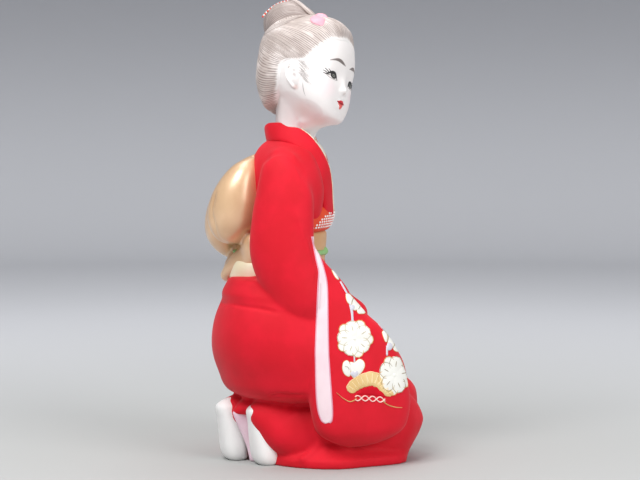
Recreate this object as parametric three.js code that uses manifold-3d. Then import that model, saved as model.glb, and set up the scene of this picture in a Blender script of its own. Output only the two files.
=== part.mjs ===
// Kneeling hakata doll: a girl in a red long-sleeved kimono who sits on her raised heels.
// The figure is one hollow clay casting, fired and painted, so it is one closed body with painted areas.
// Millimetres, +Z up. She faces about -Y, her left hand side is +X, and she stands on z = 0.

import * as THREE from "three";
import { mergeVertices } from "three/addons/utils/BufferGeometryUtils.js";
import Module from "manifold-3d";

const wasm = await Module();
wasm.setup();

// Driving dimensions in millimetres
const HEIGHT = 280; // underside to the top of the hair knot
const HEM_THICK = 4.5; // edge of the skirt that lies on the ground
const COLLAR_WIDTH = 12; // folded collar band, top edge to lower edge
const COLLAR_THICK = 3.4;
const SASH_RELIEF = 1.6; // how far the sash stands out from the body
const CORD_DIAMETER = 3.2; // green cord round the sash

const FINEST_EDGE = 0.06; // edges shorter than this close up where two forms meet

// Every free form is given in shares: thousandths of the height.
const SHARE = HEIGHT / 1000;

// Turn of each part of the body about the vertical, in degrees towards her left
const HIPS_TURN = 22;
const CHEST_TURN = -10;
const HEAD_TURN = -26;
const HEAD_NOD = 1;
const HEAD_TILT = 16;

const PAINTS = {
  kimono: { color: 0xd8202c, roughness: 0.72 },
  lining: { color: 0xecc9d8, roughness: 0.7 },
  sash: { color: 0xd6ae72, roughness: 0.35, metalness: 0.4 },
  sash_scarf: { color: 0xe4521f, roughness: 0.65 },
  cord: { color: 0x7fc870, roughness: 0.55 },
  skin: { color: 0xf6f2ee, roughness: 0.6 },
  hair: { color: 0xa89a90, roughness: 0.6 },
  ribbon: { color: 0xf2a8cb, roughness: 0.55 },
  sock: { color: 0xefefec, roughness: 0.7 },
};

// A frame of directions on the body: its origin in shares, turned, then nodded, then tilted.
function poised({ turn = 0, nod = 0, tilt = 0, origin = [0, 0, 0] }) {
  const rad = THREE.MathUtils.degToRad;
  const way = new THREE.Euler(rad(nod), rad(tilt), rad(turn), "ZXY");
  return {
    right: new THREE.Vector3(-1, 0, 0).applyEuler(way),
    ahead: new THREE.Vector3(0, -1, 0).applyEuler(way),
    up: new THREE.Vector3(0, 0, 1).applyEuler(way),
    origin: new THREE.Vector3(...origin).multiplyScalar(SHARE),
  };
}

// A direction in a frame, from its parts to the right, ahead and up.
function direction(frame, right, ahead, up) {
  return new THREE.Vector3()
    .addScaledVector(frame.right, right)
    .addScaledVector(frame.ahead, ahead)
    .addScaledVector(frame.up, up);
}

// A place in a frame, in millimetres, from shares to the right, ahead and up.
function place(frame, right, ahead, up) {
  return direction(frame, right, ahead, up).multiplyScalar(SHARE).add(frame.origin);
}

const HIPS = poised({ turn: HIPS_TURN });
const CHEST = poised({ turn: CHEST_TURN, origin: [0, 4, 0] });
const HEAD = poised({ turn: HEAD_TURN, nod: HEAD_NOD, tilt: HEAD_TILT, origin: [-6, 9, 846] });

// Rows of numbers made smooth: the first number of a row is its place, and the others follow cubic
// steps whose slopes are those between the neighbouring rows.
function smooth(rows) {
  const slope = (k, c) => {
    const before = rows[Math.max(k - 1, 0)];
    const after = rows[Math.min(k + 1, rows.length - 1)];
    return (after[c] - before[c]) / (after[0] - before[0]);
  };
  return (at) => {
    let k = 0;
    while (k < rows.length - 2 && at > rows[k + 1][0]) k += 1;
    const [a, b] = [rows[k], rows[k + 1]];
    const step = b[0] - a[0];
    const t = THREE.MathUtils.clamp((at - a[0]) / step, 0, 1);
    const [t2, t3] = [t * t, t * t * t];
    return a.slice(1).map((value, i) => {
      const c = i + 1;
      return (
        value * (2 * t3 - 3 * t2 + 1) +
        b[c] * (3 * t2 - 2 * t3) +
        step * slope(k, c) * (t3 - 2 * t2 + t) +
        step * slope(k + 1, c) * (t3 - t2)
      );
    });
  };
}

// Rounds off an end: 0 at the tip, 1 from `length` on, along a quarter of an ellipse.
function dome(from, length) {
  return from >= length ? 1 : Math.sqrt(1 - (1 - from / length) ** 2);
}

// A closed body made of rounded sections. sectionAt(t) gives the centre and the two half axes at t from
// 0 to 1. `ends` are the shares of the path over which the two ends round off, and `square` is 2 for an
// ellipse and more for a fuller section.
function swell(sectionAt, { sides = 20, rings = 14, ends = [0.3, 0.3], square = 2 } = {}) {
  const points = [];
  const along = (i) => (1 - Math.cos((Math.PI * i) / rings)) / 2;
  const fuller = (v) => Math.sign(v) * Math.abs(v) ** (2 / square);
  for (let i = 1; i < rings; i += 1) {
    const t = along(i);
    const { centre, across, over } = sectionAt(t);
    const size = dome(t, ends[0]) * dome(1 - t, ends[1]);
    for (let j = 0; j < sides; j += 1) {
      const angle = (2 * Math.PI * j) / sides;
      points.push(
        centre
          .clone()
          .addScaledVector(across, size * fuller(Math.cos(angle)))
          .addScaledVector(over, size * fuller(Math.sin(angle))),
      );
    }
  }
  const first = points.push(sectionAt(0).centre) - 1;
  const last = points.push(sectionAt(1).centre) - 1;
  const faces = [];
  for (let j = 0; j < sides; j += 1) {
    const next = (j + 1) % sides;
    faces.push(first, next, j);
    for (let i = 0; i < rings - 2; i += 1) {
      const [a, b] = [i * sides, (i + 1) * sides];
      faces.push(a + j, a + next, b + next, a + j, b + next, b + j);
    }
    const end = (rings - 2) * sides;
    faces.push(last, end + j, end + next);
  }
  return closed(points, faces);
}

// Points and faces as a solid that faces outwards.
function closed(points, faces) {
  const volume = faces.reduce((sum, _, i) => {
    if (i % 3) return sum;
    const [a, b, c] = [points[faces[i]], points[faces[i + 1]], points[faces[i + 2]]];
    return sum + a.dot(b.clone().cross(c));
  }, 0);
  const shape = new THREE.BufferGeometry().setFromPoints(points);
  shape.setIndex(volume < 0 ? faces.slice().reverse() : faces);
  return solid(shape);
}

// A three.js geometry as a solid that can be joined and cut.
function solid(geometry) {
  const bare = geometry.clone();
  bare.deleteAttribute("normal");
  bare.deleteAttribute("uv");
  const merged = mergeVertices(bare, 1e-4);
  const mesh = new wasm.Mesh({
    numProp: 3,
    vertProperties: merged.attributes.position.array,
    triVerts: new Uint32Array(merged.index.array),
    tolerance: FINEST_EDGE,
  });
  return new wasm.Manifold(mesh).asOriginal();
}

// A body of level sections. Each row is its level and how far the outline reaches back, ahead, to the
// right and to the left. `lean` raises the front of every section, in degrees.
function stack(frame, rows, { lean = 0, ...looks } = {}) {
  const outline = smooth(rows);
  const [low, high] = [rows[0][0], rows[rows.length - 1][0]];
  const rise = THREE.MathUtils.degToRad(lean);
  return swell((t) => {
    const level = THREE.MathUtils.lerp(low, high, t);
    const [back, front, right, left] = outline(level);
    const reach = (SHARE * (front + back)) / 2;
    return {
      centre: place(frame, (right - left) / 2, (front - back) / 2, level),
      across: direction(frame, 0, Math.cos(rise), Math.sin(rise)).multiplyScalar(reach),
      over: direction(frame, 1, 0, 0).multiplyScalar((SHARE * (right + left)) / 2),
    };
  }, looks);
}

// A body along a path. Each row is a place to the right, ahead and up, the half width on `side` and the
// half width square to it, and where `side` changes on the way, its direction as three more numbers.
function limb(frame, rows, { side = [1, 0, 0], ...looks } = {}) {
  let length = 0;
  const stations = rows.map((row, k) => {
    if (k) length += Math.hypot(...[0, 1, 2].map((c) => row[c] - rows[k - 1][c]));
    return [length, ...row.slice(0, 5), ...(row.length > 5 ? row.slice(5) : side)];
  });
  const route = smooth(stations);
  return swell((t) => {
    const [r, a, u, wide, deep, ...way] = route(t * length);
    const step = 0.02 * length;
    const before = route(Math.max(t * length - step, 0));
    const after = route(Math.min(t * length + step, length));
    const tangent = direction(frame, ...[0, 1, 2].map((c) => after[c] - before[c])).normalize();
    const over = direction(frame, ...way);
    over.addScaledVector(tangent, -over.dot(tangent)).normalize();
    const across = tangent.cross(over.clone());
    return {
      centre: place(frame, r, a, u),
      across: across.multiplyScalar(SHARE * deep),
      over: over.multiplyScalar(SHARE * wide),
    };
  }, looks);
}

// The same rows on her other side.
function mirrored(rows) {
  return rows.map(([right, ahead, up, wide, deep, ...way]) => {
    return [-right, ahead, up, wide, deep, ...way.map((v, i) => (i ? v : -v))];
  });
}

// Thighs and seat, the folded legs under them, and the skirt that spreads on the ground.
function skirt() {
  const seat = stack(
    HIPS,
    [
      [108, 90, 120, 80, 80],
      [150, 184, 200, 150, 150],
      [196, 211, 204, 166, 166],
      [245, 225, 176, 170, 168],
      [300, 221, 112, 158, 156],
      [350, 203, 60, 136, 134],
      [400, 182, 32, 112, 112],
      [440, 160, 16, 96, 96],
    ],
    { sides: 22, rings: 12, ends: [0.16, 0.12], square: 2.15 },
  );
  const leg = (side, heel) => {
    return limb(
      HIPS,
      [
        [side * 60, 206, 106, 60, 56],
        [side * 72, 184, 96, 74, 80],
        [side * 78, 112, 84, 78, 86],
        [side * 70, 4, 74, 70, 76],
        [side * 56, heel + 66, 76, 56, 60],
        [side * 46, heel + 20, 103, 42, 42],
        [side * 44, heel - 16, 122, 30, 24],
      ],
      { sides: 16, rings: 11, ends: [0.2, 0.08], square: 2.5 },
    );
  };
  const lap = stack(
    HIPS,
    [
      [6, 40, 196, 96, 96],
      [50, 40, 222, 108, 108],
      [110, 40, 234, 112, 112],
      [165, 40, 226, 106, 106],
      [214, 40, 194, 84, 84],
    ],
    { sides: 16, rings: 8, ends: [0.12, 0.35], square: 2.6 },
  );
  const hem = spread(
    [
      [78, -112],
      [164, -29],
      [166, 60],
      [149, 150],
      [70, 192],
      [-70, 192],
      [-150, 150],
      [-166, 40],
      [-140, -70],
      [-76, -128],
    ],
    [
      [0, 1],
      [HEM_THICK / SHARE, 1],
      [30, 0.92],
      [70, 0.74],
      [112, 0.6],
    ],
  );
  return [
    ["kimono", seat],
    ["kimono", leg(1, -150)],
    ["kimono", leg(-1, -182)],
    ["kimono", lap],
    ["kimono", hem],
    ["kimono", waistFold()],
    ["lining", underskirt()],
  ];
}

// A skirt that spreads on the ground: an outline with rounded corners in plan, drawn in towards its
// middle as it rises. Each step is a level and the share of the outline that is left there.
function spread(corners, steps) {
  const plan = new THREE.CatmullRomCurve3(
    corners.map(([right, ahead]) => place(HIPS, right, ahead, 0)),
    true,
    "centripetal",
  );
  const sides = 28;
  const edge = plan.getSpacedPoints(sides).slice(0, sides);
  const middle = edge.reduce((sum, p) => sum.add(p), new THREE.Vector3()).divideScalar(sides);
  const points = steps.flatMap(([level, share]) => {
    return edge.map((p) => middle.clone().lerp(p, share).setZ(level * SHARE));
  });
  const low = points.push(middle.clone()) - 1;
  const high = points.push(middle.clone().setZ(steps.at(-1)[0] * SHARE)) - 1;
  const faces = [];
  for (let j = 0; j < sides; j += 1) {
    const next = (j + 1) % sides;
    faces.push(low, next, j);
    for (let i = 0; i < steps.length - 1; i += 1) {
      const [a, b] = [i * sides, (i + 1) * sides];
      faces.push(a + j, a + next, b + next, a + j, b + next, b + j);
    }
    const top = (steps.length - 1) * sides;
    faces.push(high, top + j, top + next);
  }
  return closed(points, faces);
}

// The tuck of cloth that hangs over the hips below the sash.
function waistFold() {
  return stack(
    HIPS,
    [
      [330, 200, 66, 132, 132],
      [346, 206, 66, 138, 136],
      [372, 197, 50, 128, 126],
      [404, 184, 34, 112, 112],
      [420, 166, 20, 100, 100],
    ],
    { sides: 22, rings: 6, ends: [0.14, 0.3], lean: -8 },
  );
}

// Pink lining between the two heels.
function underskirt() {
  return limb(
    HIPS,
    [
      [-2, -172, 112, 22, 12],
      [-2, -160, 80, 30, 20],
      [0, -138, 30, 32, 24],
      [2, -124, -10, 32, 26],
    ],
    { sides: 8, rings: 6, ends: [0.2, 0.1] },
  );
}

// Split-toed socks, with the soles upright and the toes on the ground.
function feet() {
  const foot = (side, heel) => {
    const rows = [
      [-8, -20, -70, 24],
      [16, -6, -70, 34],
      [52, 0, -70, 34],
      [90, 4, -72, 31],
      [120, 8, -76, 26],
      [136, -2, -84, 18],
    ];
    return stack(
      HIPS,
      rows.map(([up, back, front, half]) => [up, heel + back, front - heel + 130, side + half, half - side]),
      { sides: 14, rings: 10, ends: [0.12, 0.16], square: 2.5 },
    );
  };
  return [
    ["sock", foot(42, 162)],
    ["sock", foot(-42, 202)],
  ];
}

// Upper body inside the kimono, down to the sash.
function torso() {
  return stack(
    CHEST,
    [
      [392, 154, 12, 92, 92],
      [450, 160, 20, 98, 98],
      [510, 150, 28, 102, 102],
      [570, 142, 36, 110, 110],
      [620, 134, 38, 118, 118],
      [655, 126, 32, 112, 112],
      [684, 112, 20, 84, 84],
      [712, 96, 8, 52, 52],
    ],
    { sides: 18, rings: 10, ends: [0.1, 0.12], square: 2.2 },
  );
}

// Collar: a folded band that comes round the nape to the breast on her right, and a second one on her
// left that is laid over it.
function collar() {
  const [tall, thick] = [COLLAR_WIDTH / 2 / SHARE, COLLAR_THICK / 2 / SHARE];
  const nape = [
    [-34, -84, 712, tall, thick, 0.2, -0.15, 1],
    [0, -96, 706, tall, thick, 0, -0.2, 1],
    [34, -84, 712, tall, thick, -0.2, -0.15, 1],
  ];
  const down = [
    [54, -52, 712, tall, thick, -0.45, 0, 1],
    [62, -18, 700, tall, thick, -0.6, 0.1, 1],
    [60, 8, 672, tall, thick, -0.8, 0.1, 0.8],
    [50, 24, 636, tall, thick, -1, 0.1, 0.5],
    [38, 32, 600, tall, thick, -1, 0.15, 0.35],
    [24, 37, 564, tall, thick, -1, 0.15, 0.3],
    [8, 38, 524, tall, thick, -1, 0.15, 0.3],
  ];
  const over = mirrored(down).map(([right, ahead, ...rest]) => [right, ahead + 3, ...rest]);
  const start = [-40, -74, 711, tall * 0.9, thick * 0.8, 0.3, -0.1, 1];
  const looks = { sides: 8, rings: 16, ends: [0.06, 0.05], square: 3 };
  return [
    ["kimono", limb(CHEST, [...nape, ...down], looks)],
    ["kimono", limb(CHEST, [start, ...over], { ...looks, rings: 13 })],
  ];
}

// Sash round the waist, the scarf tucked in above it and the cord tied round it.
function sash() {
  const proud = SASH_RELIEF / SHARE;
  const rows = [
    [394, 176, 14, 98, 98],
    [412, 176, 19, 101, 101],
    [450, 163, 23, 100, 100],
    [490, 153, 26, 100, 100],
    [506, 147, 25, 98, 98],
  ];
  const band = rows.map(([up, ...reach]) => [up, ...reach.map((v) => v + proud)]);
  const scarf = [
    [490, 60, 28, 84, 84],
    [502, 60, 39, 96, 96],
    [526, 60, 48, 100, 100],
    [550, 50, 46, 80, 80],
    [566, 30, 34, 40, 40],
  ];
  const girth = smooth(band)(452);
  const round = CORD_DIAMETER / 2;
  const knot = [
    [-16, girth[1], 456, 9, 9],
    [0, girth[1] + 4, 454, 13, 11],
    [16, girth[1], 450, 9, 9],
  ];
  return [
    ["sash", stack(CHEST, band, { sides: 20, rings: 7, ends: [0.1, 0.1] })],
    ["sash_scarf", stack(CHEST, scarf, { sides: 18, rings: 7, ends: [0.12, 0.3], lean: 5 })],
    ["cord", ring(CHEST, 452, girth, round)],
    ["cord", limb(CHEST, knot, { side: [0, 0, 1], sides: 8, rings: 6, ends: [0.4, 0.4] })],
  ];
}

// A cord laid round an outline at one level, half sunk in it.
function ring(frame, up, [back, front, right, left], radius) {
  class Girth extends THREE.Curve {
    getPoint(t, target = new THREE.Vector3()) {
      const angle = 2 * Math.PI * t;
      const r = (right - left) / 2 + ((right + left) / 2) * Math.sin(angle);
      const a = (front - back) / 2 + ((front + back) / 2) * Math.cos(angle);
      return target.copy(place(frame, r, a, up));
    }
  }
  const sides = 6;
  const round = new THREE.TubeGeometry(new Girth(), 24, radius, sides, true);
  return solid(round);
}

// Sash bow on the back: a wrapped middle, a loop on each side, and the end that hangs below the knot.
function bow() {
  const middle = [
    [0, -114, 668, 24, 14],
    [0, -144, 626, 50, 32],
    [0, -176, 562, 64, 46],
    [0, -190, 502, 62, 47],
    [0, -177, 463, 46, 35],
    [0, -144, 446, 24, 16],
  ];
  const loop = [
    [40, -112, 660, 24, 14],
    [62, -136, 618, 44, 36],
    [74, -158, 560, 50, 50],
    [70, -168, 508, 46, 46],
    [52, -152, 472, 30, 26],
  ];
  const end = [
    [20, -132, 482, 22, 18],
    [16, -150, 452, 26, 20],
    [12, -174, 424, 32, 15],
    [8, -188, 390, 32, 8],
  ];
  const looks = { sides: 14, rings: 9, ends: [0.3, 0.3] };
  const tail = { sides: 10, rings: 7, ends: [0.3, 0.12], square: 2.6 };
  return [
    ["sash", limb(CHEST, middle, looks)],
    ["sash", limb(CHEST, loop, looks)],
    ["sash", limb(CHEST, mirrored(loop), looks)],
    ["sash", limb(CHEST, end, tail)],
    ["sash", limb(CHEST, mirrored(end), tail)],
  ];
}

// Sleeves: the upper arm, the forearm to the lap, and the long bag of cloth that hangs from it.
function sleeves() {
  const upper = [
    [96, -58, 686, 20, 28],
    [114, -48, 646, 32, 41],
    [128, -42, 580, 40, 54],
    [136, -43, 520, 43, 62],
    [142, -41, 460, 44, 66],
    [142, -20, 400, 44, 64],
    [138, 4, 345, 42, 56],
    [124, 26, 288, 32, 40],
  ];
  // The other arm is drawn back a little, so that she sits turned in the shoulders.
  const drawnBack = [0, -4, -14, -22, -28, -36, -38, -36];
  const farUpper = mirrored(upper).map(([right, ahead, ...rest], k) => [right, ahead + drawnBack[k], ...rest]);
  const fore = [
    [134, -26, 380, 40, 44],
    [122, 8, 344, 40, 42],
    [98, 54, 322, 36, 34],
    [70, 88, 312, 29, 27],
    [48, 104, 308, 22, 21],
  ];
  const near = [
    [44, 36, 108, 180, -140],
    [64, 46, 132, 190, -122],
    [94, 58, 152, 195, -112],
    [146, 68, 160, 195, -108],
    [221, 70, 142, 190, -106],
    [280, 66, 112, 182, -100],
    [328, 62, 70, 172, -88],
    [363, 60, 36, 164, -70],
    [400, 62, 2, 156, -60],
    [445, 66, -34, 148, -70],
    [490, 72, -62, 138, -100],
  ];
  const far = [
    [44, 10, 122, -132, 176],
    [66, 8, 150, -118, 190],
    [110, 10, 170, -110, 196],
    [180, 8, 166, -104, 194],
    [250, 0, 138, -96, 188],
    [310, -10, 100, -84, 178],
    [352, -18, 66, -70, 168],
    [396, -26, 44, -60, 156],
    [440, -34, 20, -60, 140],
  ];
  const arm = { sides: 14, rings: 10, ends: [0.16, 0.2] };
  const bag = { sides: 16, rings: 12, ends: [0.09, 0.05], square: 2.6 };
  return [
    ["kimono", limb(CHEST, upper, arm)],
    ["kimono", limb(CHEST, farUpper, arm)],
    ["kimono", limb(CHEST, fore, { ...arm, sides: 12, rings: 8 })],
    ["kimono", limb(CHEST, mirrored(fore), { ...arm, sides: 12, rings: 8 })],
    ["kimono", stack(HIPS, near, bag)],
    ["kimono", stack(HIPS, far, bag)],
  ];
}

// Small hands folded one over the other in the lap.
function hands() {
  const hand = [
    [50, 102, 308, 13, 14],
    [28, 116, 303, 13, 16],
    [4, 124, 298, 10, 15],
    [-18, 127, 292, 7, 10],
  ];
  const under = mirrored(hand).map(([right, ahead, up, ...size]) => [right, ahead + 4, up - 12, ...size]);
  const looks = { side: [0, 0, 1], sides: 8, rings: 7, ends: [0.2, 0.3] };
  return [
    ["skin", limb(CHEST, hand, looks)],
    ["skin", limb(CHEST, under, looks)],
  ];
}

// Neck, head and the small raised features of the face.
function head() {
  const neck = [
    [0, -42, 660, 44, 44],
    [0, -38, 706, 42, 42],
    [2, -34, 750, 42, 42],
    [4, -24, 800, 46, 46],
  ];
  const skull = [
    [-122, -6, 62, 20, 20],
    [-110, 0, 82, 46, 46],
    [-88, 28, 89, 72, 72],
    [-56, 60, 91, 90, 90],
    [-16, 90, 92, 95, 95],
    [24, 104, 93, 97, 97],
    [60, 100, 85, 90, 90],
    [90, 76, 62, 66, 66],
    [108, 40, 30, 30, 30],
  ];
  const nose = [
    [0, 90, -8, 5, 5],
    [0, 94, -30, 7, 8],
    [0, 94, -46, 9, 7],
    [0, 88, -56, 6, 5],
  ];
  const lips = [
    [-10, 88, -72, 4, 4],
    [0, 91, -73, 8, 5],
    [10, 88, -72, 4, 4],
  ];
  const ear = [
    [92, 14, -14, 10, 8],
    [99, 8, -24, 18, 9],
    [98, 8, -44, 16, 9],
    [90, 12, -62, 8, 7],
  ];
  const small = { sides: 8, rings: 6, ends: [0.4, 0.4] };
  const lobe = { side: [0, 1, 0], ...small, sides: 10 };
  return [
    ["skin", limb(CHEST, neck, { sides: 14, rings: 4, ends: [0.05, 0.1] })],
    ["skin", stack(HEAD, skull, { sides: 22, rings: 14, ends: [0.06, 0.06], square: 2.35 })],
    ["skin", limb(HEAD, nose, small)],
    ["skin", limb(HEAD, lips, { side: [0, 0, 1], ...small })],
    ["skin", limb(HEAD, ear, lobe)],
    ["skin", limb(HEAD, mirrored(ear), lobe)],
  ];
}

// Hair combed back over the head, the knot on top, and the ribbon before it.
function hair() {
  const cap = [
    [-112, 60, -30, 24, 24],
    [-90, 84, -20, 60, 60],
    [-50, 101, -4, 86, 86],
    [-20, 107, 34, 96, 96],
    [15, 111, 84, 99, 99],
    [50, 109, 88, 98, 98],
    [75, 102, 84, 86, 86],
    [95, 88, 77, 70, 70],
    [112, 60, 54, 46, 46],
    [121, 25, 28, 20, 20],
  ];
  const knot = [
    [0, -120, 84, 30, 27],
    [0, -98, 99, 46, 42],
    [0, -62, 112, 52, 44],
    [0, -30, 119, 44, 36],
    [0, -4, 124, 24, 16],
  ];
  const lobes = [
    [
      [20, 4, 118, 5, 5],
      [48, 24, 108, 13, 6],
      [68, 46, 84, 5, 4],
    ],
    [
      [14, 10, 122, 5, 5],
      [30, 32, 116, 9, 6],
      [40, 46, 106, 4, 4],
    ],
  ];
  const petal = (rows) => ["ribbon", limb(HEAD, rows, { side: [-0.5, 1, 0], sides: 6, rings: 5, ends: [0.4, 0.4] })];
  return [
    ["hair", stack(HEAD, cap, { sides: 22, rings: 12, ends: [0.08, 0.06], square: 2.4 })],
    ["hair", limb(HEAD, knot, { sides: 14, rings: 10, ends: [0.4, 0.4] })],
    ...lobes.map(petal),
    ...lobes.map(mirrored).map(petal),
  ];
}

// Everything above the ground, as a box that the figure is cut with for its flat underside.
function aboveGround() {
  const room = 2 * HEIGHT;
  return solid(new THREE.BoxGeometry(room, room, room).translate(0, 0, room / 2));
}

// The whole figure as one mesh, with a group of faces for each paint.
function figure() {
  const forms = [
    ...skirt(),
    ...feet(),
    ["kimono", torso()],
    ...sash(),
    ...collar(),
    ...bow(),
    ...sleeves(),
    ...hands(),
    ...head(),
    ...hair(),
  ];
  const names = Object.keys(PAINTS);
  const paintOf = new Map(forms.map(([paint, form]) => [form.originalID(), names.indexOf(paint)]));
  const whole = forms.map(([, form]) => form).reduce((sum, form) => sum.add(form));
  const { vertProperties, triVerts, runIndex, runOriginalID } = whole.intersect(aboveGround()).getMesh();
  const shape = new THREE.BufferGeometry();
  shape.setAttribute("position", new THREE.BufferAttribute(vertProperties, 3));
  shape.setIndex(new THREE.BufferAttribute(triVerts, 1));
  runOriginalID.forEach((id, i) => {
    shape.addGroup(runIndex[i], runIndex[i + 1] - runIndex[i], paintOf.get(id) ?? 0);
  });
  shape.computeBoundingBox();
  const { min, max } = shape.boundingBox;
  shape.computeVertexNormals();
  const mesh = new THREE.Mesh(
    shape,
    names.map((name) => new THREE.MeshStandardMaterial(PAINTS[name])),
  );
  mesh.name = "doll";
  mesh.position.set(-(min.x + max.x) / 2, -(min.y + max.y) / 2, -min.z);
  return mesh;
}

const hakataDoll = new THREE.Group();
hakataDoll.add(figure());

export default hakataDoll;
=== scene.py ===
"""Kneeling hakata doll: a painted figure of fired clay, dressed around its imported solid.

Every form is written in shares, thousandths of the figure's height, to the right, ahead and up in the frame of the
hips, the chest or the head. A form is a closed body of rounded sections. Forms that are one in the clay are melted
together on a fine grid and softened, then grooved, and the painted shapes are laid on them as thin coats.
"""

from __future__ import annotations

import logging
import math
from collections.abc import Callable, Sequence
from dataclasses import dataclass, field, replace
from enum import Enum
from functools import cached_property

import bpy
import numpy as np
from mathutils import Matrix, Vector
from mathutils.bvhtree import BVHTree

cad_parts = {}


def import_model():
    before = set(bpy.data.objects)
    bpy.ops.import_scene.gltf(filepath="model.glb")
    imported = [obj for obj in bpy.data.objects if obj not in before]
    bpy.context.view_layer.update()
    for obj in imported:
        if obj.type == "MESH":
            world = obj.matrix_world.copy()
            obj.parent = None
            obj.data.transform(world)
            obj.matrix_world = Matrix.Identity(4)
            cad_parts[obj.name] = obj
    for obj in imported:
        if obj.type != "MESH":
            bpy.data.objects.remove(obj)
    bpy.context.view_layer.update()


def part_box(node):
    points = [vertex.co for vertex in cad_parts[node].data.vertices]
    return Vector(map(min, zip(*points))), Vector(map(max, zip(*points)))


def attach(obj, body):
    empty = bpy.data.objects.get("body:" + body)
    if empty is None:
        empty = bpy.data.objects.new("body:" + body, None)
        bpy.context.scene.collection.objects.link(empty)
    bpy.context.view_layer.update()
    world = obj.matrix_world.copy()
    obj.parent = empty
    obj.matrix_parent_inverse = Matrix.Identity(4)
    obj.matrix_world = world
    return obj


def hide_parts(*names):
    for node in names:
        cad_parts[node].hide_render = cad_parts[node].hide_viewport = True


LOG = logging.getLogger("hakata_doll")
Array = np.ndarray
Rows = Sequence[Sequence[float]]
Paint = tuple[float, float, float]

NODE = "doll"
BODY = "root"
MM = 0.001
TOP_SHARES = 999.116  # height of the hair knot's top over the ground
MIDDLE_SHARES = (20.722, -0.528)  # middle of the figure's box in plan, from the point between her hips
SEEN_FROM_ABOVE = 3.4  # degrees that the camera looks down by
EYE = (-4285.7, -14.3, 732.1)  # where she is looked at from, in shares
NEAR_SLEEVE = (-0.0537, -0.0274, 0.0716)  # middle of the sleeve on her right, in metres
FAR_SLEEVE = (-186.0, 72.0, 236.0)  # middle of the sleeve on her left, in shares from the hips


@dataclass(frozen=True)
class Scale:
    """Turns shares of the figure's height into metres in the part's own frame."""

    share: float

    @classmethod
    def of_frame(cls) -> Scale:
        """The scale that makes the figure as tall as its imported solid."""
        low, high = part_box(NODE)
        return cls(share=(high.z - low.z) / TOP_SHARES)

    def metres(self, places: Array) -> Array:
        """Places in shares as places in metres.

        Args:
            places: rows of three shares, from the point between her hips on the ground.

        Returns:
            The same places in metres in the part's frame.
        """
        return (places - np.array([*MIDDLE_SHARES, 0.0])) * self.share

    def shares(self, places: Array) -> Array:
        """Places in metres in the part's frame as places in shares."""
        return places / self.share + np.array([*MIDDLE_SHARES, 0.0])


@dataclass(frozen=True)
class Poise:
    """A frame of directions on the body: turned to her left, then nodded, then tilted, in degrees."""

    turn: float = 0.0
    nod: float = 0.0
    tilt: float = 0.0
    origin: tuple[float, float, float] = (0.0, 0.0, 0.0)

    @property
    def axes(self) -> Array:
        """Rows are the directions to her right, ahead and up."""
        turn, nod, tilt = np.radians([self.turn, self.nod, self.tilt])
        about_up = np.array(
            [[np.cos(turn), -np.sin(turn), 0], [np.sin(turn), np.cos(turn), 0], [0, 0, 1]]
        )
        about_side = np.array([[1, 0, 0], [0, np.cos(nod), -np.sin(nod)], [0, np.sin(nod), np.cos(nod)]])
        about_front = np.array(
            [[np.cos(tilt), 0, np.sin(tilt)], [0, 1, 0], [-np.sin(tilt), 0, np.cos(tilt)]]
        )
        return np.diag([-1.0, -1.0, 1.0]) @ (about_up @ about_side @ about_front).T

    def out(self, local: Array) -> Array:
        """Places to the right, ahead and up, as places in the figure."""
        return local @ self.axes + np.array(self.origin)

    def into(self, places: Array) -> Array:
        """Places in the figure, as places to the right, ahead and up."""
        return (places - np.array(self.origin)) @ self.axes.T


HIPS = Poise(turn=22)
CHEST = Poise(turn=-10, origin=(0, 4, 0))
HEAD = Poise(turn=-26, nod=1, tilt=16, origin=(-6, 9, 846))
FACE = replace(HEAD, turn=-31.5)


def smooth(rows: Rows | Array, at: Array) -> Array:
    """Rows of numbers made smooth.

    The first number of a row is its place. Between two rows the others follow the cubic whose slopes at the rows
    are those between each row's two neighbours.

    Args:
        rows: the table, with rising places.
        at: the places to read it at.

    Returns:
        One row of values for each place.
    """
    table = np.asarray(rows, float)
    place, values = table[:, 0], table[:, 1:]
    index = np.arange(len(place))
    before, after = np.maximum(index - 1, 0), np.minimum(index + 1, len(place) - 1)
    slopes = (values[after] - values[before]) / (place[after] - place[before])[:, None]
    k = np.clip(np.searchsorted(place, at, side="right") - 1, 0, len(place) - 2)
    step = (place[k + 1] - place[k])[:, None]
    t = np.clip((at - place[k])[:, None] / step, 0, 1)
    return (
        values[k] * (2 * t**3 - 3 * t**2 + 1)
        + values[k + 1] * (3 * t**2 - 2 * t**3)
        + step * slopes[k] * (t**3 - 2 * t**2 + t)
        + step * slopes[k + 1] * (t**3 - t**2)
    )


def dome(start: Array, length: float) -> Array:
    """Rounds off an end: 0 at the tip and 1 from `length` on, along a quarter of an ellipse."""
    return np.sqrt(np.clip(1 - np.clip(1 - start / length, 0, 1) ** 2, 0, 1))


def ease(value: Array) -> Array:
    """The smooth step from 0 to 1: three times the square less twice the cube."""
    x = np.clip(value, 0, 1)
    return x * x * (3 - 2 * x)


def noise(at: Array, seed: int, period: int) -> Array:
    """Smooth noise along a closed line: random values at whole places, joined by smooth steps.

    Args:
        at: places along the line, which repeats after `period`.
        seed: picks the random values.
        period: the number of values.

    Returns:
        Values from 0 to 1.
    """
    values = np.random.default_rng(seed).random(period)
    low = np.floor(at).astype(int)
    share = ease(at - low)
    return values[low % period] * (1 - share) + values[(low + 1) % period] * share


@dataclass
class Net:
    """Points with the four-sided and three-sided faces between them, and values for each point."""

    points: Array
    quads: Array
    tris: Array = field(default_factory=lambda: np.zeros((0, 3), int))
    traits: dict[str, Array] = field(default_factory=dict)

    def flipped(self) -> Net:
        """The same net with its faces turned round."""
        return replace(self, quads=self.quads[:, ::-1], tris=self.tris[:, ::-1])

    def moved(self, points: Array) -> Net:
        """The same net with its points elsewhere."""
        return replace(self, points=points)


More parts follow.
